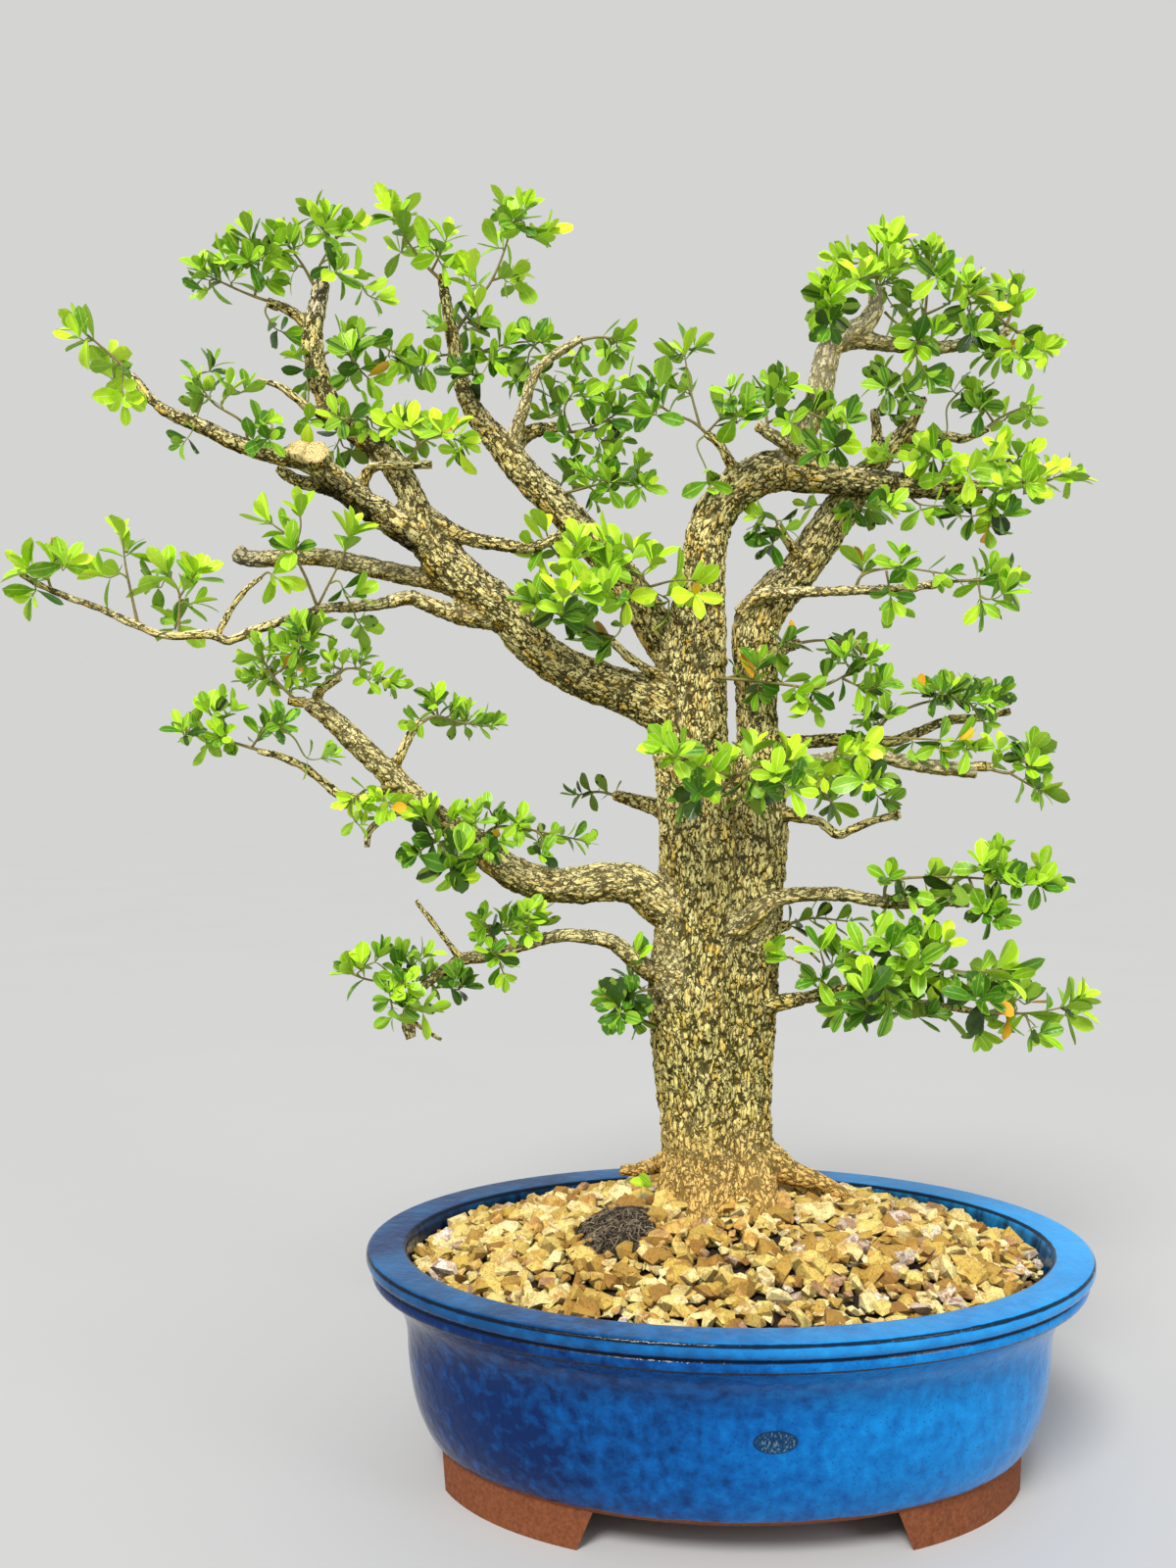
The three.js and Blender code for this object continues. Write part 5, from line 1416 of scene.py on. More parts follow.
        ((-151, 329, -26), (-148, 316, -40), (-144, 306, -44)),
    ), (
        (-166, -119, 326, 354), (-160, -140, 314, 332), (-138, -114, 334, 356),
    ), 0.82),
    "heart_upper": Spray(YOUNG, TOP, (
        ((-52, 534, 12), (-72, 546, -14), (-94, 556, -22), (-112, 574, -26), (-118, 588, -28)),
        ((-90, 554, -21), (-104, 546, -36), (-122, 540, -42)), ((-100, 562, -23), (-98, 580, -38)),
    ), (
        (-140, -114, 562, 592), (-120, -90, 562, 590), (-140, -106, 536, 562, 0.3),
        (-118, -84, 540, 576, 0, 14),
        (-116, -84, 522, 546, 0.35, 6), (-96, -64, 552, 578, 0, 14),
    ), 1.15),
    "heart_front": Spray(YOUNG, TOP, (
        ((-54, 538, 10), (-52, 552, -18), (-68, 566, -26), (-80, 580, -30)),
        ((-52, 552, -18), (-36, 556, -28), (-24, 556, -32)), ((-60, 558, -22), (-66, 544, -34)),
    ), (
        (-84, -40, 562, 590), (-90, -60, 546, 562), (-50, -12, 542, 558, -0.2), (-98, -64, 512, 530, 0.3),
        (-50, -28, 518, 548, 0.1, 10),
    ), 1.15),
    "trunk_tuft": Spray(OLD, LEFT, (
        ((-46, 298, -4), (-60, 295, -14), (-72, 288, -22)), ((-56, 296, -12), (-64, 304, -4)),
    ), (
        (-88, -60, 284, 307, -0.2), (-80, -52, 272, 292), (-78, -54, 282, 306, 0, 10),
        (-68, -54, 314, 326, -0.2, 6),
    ), 1.1),
    "top_twig": Spray(GREEN, TOP, (
        ((-13, 646, -12), (-24, 656, -18), (-40, 663, -22), (-54, 674, -24)),
        ((-20, 653, -16), (-26, 676, -18), (-30, 700, -20)), ((-16, 649, -14), (-4, 662, -26)),
    ), (
        (-76, -54, 670, 692), (-60, -36, 672, 694), (-46, -14, 690, 717), (-42, -16, 670, 692),
        (-62, -30, 658, 674),
        (-14, 8, 664, 688), (-17, 18, 656, 672), (-24, -6, 608, 632),
    ), 1.1),
    "top_stub": Spray(GREEN, TOP, (
        ((24, 648, -14), (22, 662, -10), (26, 676, -8)), ((23, 656, -12), (42, 664, -28), (62, 656, -32)),
    ), (
        (6, 44, 672, 690), (4, 30, 656, 680), (18, 46, 650, 676, 0, 10), (42, 62, 658, 678),
        (56, 84, 652, 676),
        (44, 76, 632, 652, 0.1, 10),
    )),
    "pale_limb_top": Spray(YOUNG, RIGHT, (
        ((91, 736, -12), (92, 750, -18), (92, 770, -20)), ((92, 748, -17), (76, 746, -22), (62, 738, -24)),
        ((92, 752, -18), (106, 770, -24)),
    ), (
        (84, 108, 762, 790), (92, 110, 738, 770, 0.1, 8), (56, 84, 752, 772), (48, 76, 724, 756, 0.1),
        (52, 76, 712, 738, 0.4), (112, 132, 756, 776),
        (85, 114, 738, 768), (70, 96, 744, 770, 0, 8), (96, 112, 720, 742),
    ), 1.05),
    "long_arm_middle": Spray(GREEN, RIGHT, (
        ((118, 705, -8), (122, 722, -14), (124, 740, -18), (126, 760, -20)),
        ((122, 724, -14), (138, 732, -18), (148, 744, -20)), ((120, 715, -12), (116, 704, -20)),
        ((97, 726, -12), (103, 720, -14), (112, 715, -15), (124, 716, -16)),
    ), (
        (108, 142, 740, 766), (104, 126, 724, 742), (128, 166, 718, 759), (120, 168, 708, 728, 0, 8),
        (84, 106, 672, 700), (118, 132, 682, 696),
    )),
    "long_arm_tip": Spray(YOUNG, RIGHT, (
        ((172, 713, -6), (178, 728, -10), (180, 740, -12)),
        ((174, 718, -8), (190, 708, -14), (198, 702, -16)),
        ((174, 718, -8), (160, 732, -14)),
    ), (
        (160, 192, 714, 754), (168, 206, 692, 716, 0.1), (150, 180, 688, 712, 0.2),
        (162, 190, 706, 728, 0, 8),
    )),
    "inner_twig": Spray(GREEN, RIGHT, (
        ((90, 660, 31), (98, 674, 28), (95, 688, 26)), ((94, 667, 29), (112, 676, 38)),
    ), (
        (104, 128, 664, 692), (98, 116, 656, 672, 0, 6),
    ), 0.95),
    "inner_right": Spray(GREEN, RIGHT, (
        ((158, 650, 31), (172, 660, 34), (188, 667, 36)), ((166, 656, 33), (154, 674, 28)),
    ), (
        (142, 170, 658, 690, 0.1), (164, 196, 652, 670), (118, 140, 636, 654), (130, 146, 674, 690),
    ), 0.95),
    "level_arm_bright": Spray(YOUNG, RIGHT, (
        ((128, 616, 6), (134, 630, -4), (124, 638, -8)), ((133, 628, -3), (152, 630, -10), (166, 632, -14)),
        ((70, 614, 14), (78, 604, -2), (96, 603, -8)), ((112, 610, 12), (120, 604, -2), (140, 603, -6)),
    ), (
        (80, 108, 626, 646), (108, 150, 624, 647), (122, 160, 616, 638, 0, 10), (40, 76, 598, 612, 0.2),
        (58, 84, 592, 610, 0.2), (112, 132, 596, 610, 0.2),
        (75, 130, 597, 612, 0.3),
    ), 1.05),
    "level_arm_tip": Spray(YOUNG, RIGHT, (
        ((156, 614, 8), (176, 618, 12), (196, 618, 14), (210, 623, 16)), ((178, 618, 12), (182, 636, 6)),
        ((168, 617, 10), (164, 602, 0)),
    ), (
        (154, 198, 628, 652), (196, 226, 614, 636), (132, 186, 594, 608, 0.4), (154, 178, 584, 600, 0.2),
        (160, 204, 604, 634, 0, 22),
    ), 1.05),
    "second_arm": Spray(GREEN, RIGHT, (
        ((78, 550, -12), (84, 560, -18), (106, 564, -22), (136, 560, -24)), ((98, 562, -21), (101, 544, -30)),
        ((30, 589, -1), (26, 597, -4), (18, 596, -6)),
    ), (
        (70, 92, 562, 578), (92, 116, 562, 578, 0, 6), (98, 110, 534, 548, 0.3), (116, 138, 552, 570),
        (8, 46, 582, 600, 0.35), (14, 32, 572, 588, 0.5),
    ), 1.05),
    "second_arm_tip": Spray(GREEN, RIGHT, (
        ((136, 555, -19), (152, 556, -22), (166, 556, -24), (176, 556, -24)),
        ((156, 556, -22), (158, 542, -28)),
    ), (
        (146, 174, 552, 576), (158, 184, 542, 566), (152, 172, 532, 552, 0.3),
    ), 1.15),
    "front_twig": Spray(GREEN, RIGHT, (
        ((-8, 494, -10), (8, 493, -18), (34, 490, -20), (54, 488, -22), (72, 496, -24), (88, 508, -26)),
        ((14, 492, -19), (16, 502, -24)), ((70, 494, -24), (82, 488, -30)),
    ), (
        (-1, 16, 493, 515), (16, 42, 490, 504), (36, 64, 468, 492), (48, 68, 488, 506, 0, 6),
        (30, 42, 514, 528, 0.2), (32, 56, 478, 498, 0, 8), (62, 84, 502, 526),
        (74, 107, 483, 505), (2, 34, 480, 494, 0.35),
    )),
    "third_arm": Spray(GREEN, RIGHT, (
        ((92, 455, 18), (98, 468, 12), (120, 478, 10), (144, 482, 10), (164, 482, 10)),
        ((148, 482, 10), (160, 466, 0)),
    ), (
        (73, 107, 462, 482), (112, 140, 479, 496), (128, 160, 478, 498), (148, 178, 479, 496),
        (118, 146, 480, 498, 0.1, 8), (140, 174, 474, 492, 0.1, 10),
        (70, 94, 448, 466, 0, 28),
    ), 0.84),
    "fourth_arm": Spray(YOUNG, RIGHT, (
        ((62, 443, -12), (74, 454, -20), (108, 456, -26), (146, 454, -32)), ((70, 452, -18), (58, 432, -30)),
    ), (
        (60, 99, 438, 461, -0.1), (106, 142, 440, 463, 0.2), (138, 160, 443, 460, 0.2),
        (40, 72, 424, 450, 0.1),
        (68, 106, 424, 450, 0, 12),
    ), 1.05),
    "fourth_arm_old": Spray(OLD, RIGHT, (
        ((58, 442, -10), (54, 428, -2), (64, 414, 4)), ((55, 431, -3), (84, 426, 6), (94, 418, 8)),
    ), (
        (48, 80, 412, 430), (82, 108, 410, 431, -0.2),
    ), 1.15),
    "fourth_arm_tip": Spray(GREEN, RIGHT, (
        ((158, 438, -23), (176, 434, -26), (184, 442, -30), (190, 450, -32)),
        ((176, 434, -26), (196, 422, -32)),
    ), (
        (178, 198, 432, 456), (190, 204, 420, 434), (160, 182, 444, 456),
    )),
    "trunk_front": Spray(YOUNG, RIGHT, (
        ((-14, 422, -8), (0, 430, -42), (-22, 440, -56), (-42, 448, -64)),
        ((0, 430, -42), (18, 438, -54), (38, 442, -64)), ((-10, 436, -49), (-18, 428, -66)),
    ), (
        (-53, -26, 440, 462, -0.1), (-40, -10, 434, 450), (-38, -12, 412, 436, 0.5), (0, 23, 440, 463, -0.1),
        (22, 46, 440, 461, -0.1), (-18, 8, 424, 456, 0.1), (8, 21, 409, 426, 0.5),
        (18, 56, 418, 446, 0.05, 6), (2, 34, 414, 440, 0.45, 12),
    ), 1.1),
    "fifth_arm": Spray(GREEN, RIGHT, (
        ((96, 353, -24), (102, 366, -28), (140, 368, -30), (172, 366, -32), (200, 364, -32)),
        ((160, 368, -31), (168, 382, -34)), ((150, 368, -31), (158, 350, -42), (168, 342, -44)),
    ), (
        (85, 111, 360, 379), (112, 133, 362, 378), (98, 124, 352, 368, 0.15, 8),
        (128, 150, 352, 370, 0.15, 8), (124, 148, 358, 377), (150, 178, 362, 388), (178, 205, 364, 382),
        (97, 109, 346, 360), (131, 145, 350, 362, 0.3), (150, 182, 338, 358, 0.35),
        (176, 206, 356, 376, 0.1, 8), (158, 194, 360, 378, 0, 8),
        (152, 174, 344, 362, 0, 8),
    ), 1.05),
    "mass_left": Spray(GREEN, RIGHT, (
        ((54, 294, -21), (62, 310, -34), (84, 324, -42), (106, 330, -46)),
        ((60, 307, -32), (56, 322, -38)), ((82, 323, -41), (94, 304, -56)),
        ((20, 316, -12), (18, 320, -18), (22, 321, -20)),
    ), (
        (51, 80, 308, 333, 0.15), (44, 66, 295, 322), (78, 112, 316, 344, 0.12),
        (66, 98, 300, 334, 0.1, 12), (60, 96, 276, 304, 0.15, 10), (44, 62, 288, 312, 0.1, 6),
        (72, 96, 286, 318, 0.1, 14), (46, 84, 286, 304, 0, 10),
        (94, 122, 300, 320, 0.2, 6), (86, 112, 280, 300, 0.25, 6),
    ), 1.25),
    "mass_right": Spray(YOUNG, RIGHT, (
        ((114, 301, -34), (126, 312, -40), (148, 308, -44), (170, 310, -46)),
        ((124, 311, -39), (134, 326, -42)),
    ), (
        (108, 148, 314, 342, 0.3), (98, 130, 288, 314, 0.35), (122, 152, 294, 318, 0.1, 8),
        (150, 186, 297, 317),
        (128, 162, 290, 308, 0.1), (144, 174, 282, 310, 0.3, 10), (106, 130, 308, 328, 0.3, 12),
    ), 1.25),
    "mass_low": Spray(OLD, RIGHT, (((74, 297, -26), (78, 286, -34), (98, 282, -36), (120, 280, -38)),), (
        (62, 85, 276, 298, -0.2), (84, 110, 280, 298, -0.1), (116, 130, 276, 290), (132, 148, 284, 298, -0.2),
    ), 1.25),
    "mass_tip": Spray(GREEN, RIGHT, (
        ((148, 284, -20), (166, 282, -22), (190, 282, -24), (212, 286, -26)),
        ((186, 282, -24), (190, 270, -30)),
    ), (
        (149, 163, 264, 285), (166, 182, 269, 284), (166, 190, 287, 302), (180, 196, 283, 301),
        (190, 202, 264, 282, 0.3),
        (200, 232, 274, 303, -0.2),
    ), 1.15),
    "back_right_low": Spray(OLD, RIGHT, (((30, 336, 62), (50, 342, 78), (74, 340, 92)),)),
    "back_left_low": Spray(OLD, LEFT, (((-68, 418, 64), (-84, 422, 80), (-98, 420, 92)),)),
    "back_right": Spray(OLD, RIGHT, (((36, 515, 57), (56, 518, 76), (78, 516, 90)),), ((56, 82, 506, 524),)),
    "back_left": Spray(OLD, TOP, (
        ((-101, 591, 56), (-110, 608, 72), (-104, 626, 84)),
    ), ((-116, -92, 606, 636),)),
}


@dataclass
class Foliage:
    """Every leafy stem: its runs, thin twigs that fan out into its tufts, and leaves in crossed pairs."""

    wood: Wood
    seed: int = 5381
    blade_forms: int = 8
    leaf_length: tuple[float, float] = (11.8, 18.0)
    leaf_breadth: tuple[float, float] = (0.48, 0.62)
    pair_step: float = 7.2
    leafy_length: float = 12.5
    sprig_area: float = 305.0
    tuft_inset: float = 8.0
    tuft_depth: float = 9.0
    stem_radius: float = 1.15
    stem_sides: int = 4
    tones: dict = field(default_factory=lambda: {YOUNG: 0.7, GREEN: 0.5, OLD: 0.22})
    tone_spread: float = 0.15
    yellowed_share: float = 0.006
    missing_share: float = 0.1
    # Leaves at the trunk's foot: x, z, y as seen, direction, size, tone.
    loose: tuple = (
        (-49, 171, -4, (-1, -0.2, 0.45), 1.2, 0.62), (-50, 171, -6, (-0.5, -0.4, 0.7), 0.8, 0.6),
    )

    def __post_init__(self) -> None:
        """Starts the random order and the blades' shared forms."""
        self.random = random.Random(self.seed)
        self.stems = Shape()
        self.forms = [self.blade_form(k) for k in range(self.blade_forms)]
        self.leaf_count = 0

    def blade_form(self, number: int) -> tuple[np.ndarray, np.ndarray, list]:
        """Makes one form of blade 1 long: broadest past its middle, round at the tip, lightly cupped.

        Args:
            number: Which of the forms it is.

        Returns:
            Its vertices, their places on the blade, and its faces.
        """
        along = (0.0, 0.14, 0.34, 0.56, 0.76, 0.91, 1.0)
        width = (0.1, 0.3, 0.7, 0.96, 0.98, 0.72, 0.24)
        columns = (-1, -0.5, 0, 0.5, 1)
        cup = 0.03 + 0.04 * (number % 3)
        droop = 0.16 * (number % 4) - 0.16
        points, places, faces = [], [], []
        for under, lines in ((0, columns), (1, columns[::2])):
            for t, w in zip(along, width):
                for column in lines:
                    lift = cup * abs(column) ** 1.5 * w - droop * t * t - 0.02 * under * (1 - abs(column))
                    tip = 0.04 * (1 - abs(column)) * (t > 0.95)
                    points.append((column * w / 2, t + tip, lift))
                    places.append((column, t, under))
            first = len(points) - len(along) * len(lines)
            for row in range(len(along) - 1):
                for column in range(len(lines) - 1):
                    a = first + row * len(lines) + column
                    quad = [a, a + 1, a + 1 + len(lines), a + len(lines)]
                    faces.append(quad[::-1] if under else quad)
        return np.array(points), np.array(places, float), faces

    def add_leaf(
        self, shape: Shape, foot: Vector, aim: Vector, up: Vector, size: float, tone: float
    ) -> None:
        """Adds one leaf unless it would lie in the wood.

        Args:
            shape: The mesh that it goes into.
            foot: Where it leaves its stem.
            aim: The direction of its midrib.
            up: Roughly the direction that its upper face looks.
            size: Its length as a share of the usual one.
            tone: Its tone, from 0 for old to 1 for young.
        """
        pick = self.random
        length = pick.uniform(*self.leaf_length) * size
        if self.wood.nearest(foot + aim * length * 0.6, 6)[1] < 1.5:
            return
        side = aim.cross(up).normalized()
        face = side.cross(aim)
        breadth = length * pick.uniform(*self.leaf_breadth)
        points, places, faces = self.forms[pick.randrange(len(self.forms))]
        rows = points @ np.array([side * breadth, aim * length, face * length]) + np.array(foot + aim * 0.8)
        autumn = 0.9 if pick.random() < self.yellowed_share else 0.0
        shade = tone + pick.gauss(0, self.tone_spread)
        shape.add(rows, faces, blade=places, tone=min(max(shade, 0.02), 0.98), autumn=autumn)
        self.leaf_count += 1

    def leaf_aim(self, ring: Ring, turn: float, lean: float) -> tuple[Vector, Vector]:
        """Finds how a leaf leaves its stem.

        Args:
            ring: The stem's ring there.
            turn: The angle round the stem.
            lean: The angle away from the stem.

        Returns:
            The direction of its midrib and that of its upper face.
        """
        out = ring.across * math.cos(turn) + ring.side * math.sin(turn)
        aim = ring.along * math.cos(lean) + out * math.sin(lean) + UP * 0.22
        aim = (aim + Vector([self.random.uniform(-0.16, 0.16) for _ in range(3)])).normalized()
        up = ring.along + UP * 0.5 + Vector((0, -0.35, 0))
        up += Vector([self.random.uniform(-0.3, 0.3) for _ in range(3)])
        return aim, up

    def leaf_up(self, shape: Shape, path: list[Ring], tone: float, first: float, size: float = 1.0) -> None:
        """Sets crossed leaf pairs along a stem and a rosette at its tip.

        Args:
            shape: The mesh that the leaves go into.
            path: The stem.
            tone: The tone of its leaves; those at the tip are younger.
            first: How far up the stem the first pair is.
            size: Size of its leaves as a share of the usual one.
        """
        length = path[-1].distance
        step = self.pair_step * size * self.random.uniform(0.9, 1.2)
        spots = list(np.arange(first, length - 3.5, step))
        turn = self.random.uniform(0, math.pi)
        for k, spot in enumerate(spots + [length - 1.8, length]):
            ring = min(path, key=lambda r: abs(r.distance - spot))
            left = len(spots) + 1 - k
            lean = {0: 0.5, 1: 0.85}.get(left, 1.05) + self.random.uniform(-0.14, 0.14)
            scale = {0: 0.74, 1: 0.96}.get(left, 1.0) * size
            for half in (0, math.pi):
                if left > 1 and self.random.random() < self.missing_share:
                    continue
                aim, up = self.leaf_aim(ring, turn + half, lean)
                young = 0.12 if left < 2 else -0.05 * left
                self.add_leaf(shape, ring.centre, aim, up, scale, tone + young)
            turn += math.pi / 2 + self.random.uniform(-0.2, 0.2)

    def add_stem(self, path: list[Ring], green: float) -> None:
        """Adds the skin of one stem that is green by a share."""
        points, faces, grain = tube(path, self.stem_sides, 0.12)
        self.stems.add(points, faces, grain=grain, green=green)

    def twig(self, ring: Ring, tip: Vector) -> list[Ring]:
        """Grows a thin curved twig.

        Args:
            ring: The ring of the stem that it leaves.
            tip: Where it ends.

        Returns:
            Its path.
        """
        way = tip - ring.centre
        reach = way.length
        first = (ring.along * 0.7 + way.normalized()).normalized()
        last = (way.normalized() + UP * self.random.uniform(0.1, 0.7)).normalized()
        line = (ring.centre, ring.centre + first * reach * 0.35, tip - last * reach * 0.35, tip)
        points = [(p.x, p.z, p.y, r) for p, r in zip(line, (0.75, 0.6, 0.5, 0.38))]
        return rings_along(points, 2.8, is_seen=False)

    def tips(self, tufts: tuple[Point, ...], rings: list[Ring], size: float) -> list[tuple[Vector, float]]:
        """Spreads the tips of twigs evenly through tufts, about as deep as the nearest stem.

        Args:
            tufts: The tufts, as seen.
            rings: The rings of the stems.
            size: Size of the leaves as a share of the usual one.

        Returns:
            Each tip's true place and how much darker it is.
        """
        pick = self.random
        flat = []
        for ring in rings:
            reach = (ring.centre.y - EYE.y) / -EYE.y
            flat.append((EYE.x + (ring.centre.x - EYE.x) / reach, EYE.z + (ring.centre.z - EYE.z) / reach))
        taken, made = [], []
        for x0, x1, z0, z1, *more in tufts:
            darker, nearer = (*more, 0, 0)[:2]
            inset_x, inset_z = (min(self.tuft_inset * size, span * 0.42) for span in (x1 - x0, z1 - z0))
            left, right = x0 + inset_x, x1 - inset_x
            low, high = z0 + inset_z * 0.6, z1 - inset_z * 1.4
            for _ in range(max(1, round((x1 - x0) * (z1 - z0) / (self.sprig_area * size**2)))):
                spread = [(pick.uniform(left, right), pick.uniform(low, high)) for _ in range(9)]
                spot = max(spread, key=lambda p: min((math.dist(p, q) for q in taken), default=0))
                taken.append(spot)
                near = min(range(len(flat)), key=lambda k: math.dist(flat[k], spot))
                side = min(max(pick.gauss(0, self.tuft_depth), -20), 20)
                below = smooth_step(4, 18, flat[near][1] - spot[1]) * 0.12
                shade = below - (spot[1] - z0) / (z1 - z0) * 0.16 + 0.06
                made.append((seen(*spot, rings[near].centre.y + side - nearer), shade + darker))
        return made

    def grow(self, shape: Shape, spray: Spray) -> None:
        """Grows one spray into a mesh of leaves and adds its stems.

        Args:
            shape: The mesh that the leaves go into.
            spray: The spray.
        """
        base = self.tones[spray.tone]
        rings = []
        for number, run in enumerate(spray.runs):
            thick = self.stem_radius * (1 if number == 0 else 0.8)
            last = len(run) - 1
            points = [(*point, thick * (1 - 0.55 * k / last)) for k, point in enumerate(run)]
            path = rings_along(points, 2.2)
            self.add_stem(path, 0.25)
            length = path[-1].distance
            first = length - self.leafy_length if spray.tufts else min(9.0, length * 0.4)
            self.leaf_up(shape, path, base, first, spray.leaf_size * min(1.0, length / 12 + 0.2))
            rings.extend(path[2:])
        waiting = self.tips(spray.tufts, rings, spray.leaf_size)
        while waiting:
            centres = np.array([ring.centre for ring in rings])
            ways = np.array([tip for tip, _ in waiting])[:, None] - centres[None]
            reach = np.linalg.norm(ways, axis=2)
            turn = (ways * np.array([ring.along for ring in rings])[None]).sum(2) / np.maximum(reach, 0.01)
            cost = reach * (1.3 - 0.3 * turn) + 3 * (reach < 5)
            number, origin = np.unravel_index(int(cost.argmin()), cost.shape)
            tip, darker = waiting.pop(int(number))
            path = self.twig(rings[origin], tip)
            self.add_stem(path, 0.6)
            tone = base - darker + self.random.gauss(0, 0.06)
            first = max(3.0, path[-1].distance - self.leafy_length)
            self.leaf_up(shape, path, tone, first, spray.leaf_size)
            rings.extend(path[2:-2])

    def build(self) -> None:
        """Builds and dresses all leaves and stems."""
        finish = LeafFinish().material()
        for side, tone in itertools.product(Side, Tone):
            wanted = (side, tone)
            members = [name for name, spray in SPRAYS.items() if (spray.side, spray.tone) == wanted]
            shape = Shape()
            for name in members:
                self.grow(shape, SPRAYS[name])
            if members:
                made = shape.build(f"{tone.value}_{side.value}")
                dress(made, finish, [f"spray_{name}" for name in members])
        dress(self.stems.build("stems"), StemFinish().material(), [])
        loose = Shape()
        for x, z, y, aim, size, tone in self.loose:
            away = Vector(aim).normalized()
            self.add_leaf(loose, seen(x, z, y), away, Vector((0, -0.7, 1)), size, tone)
        dress(loose.build("loose_leaves"), finish, [])
        log.info("leaves: %d", self.leaf_count)


# Pot and its filling


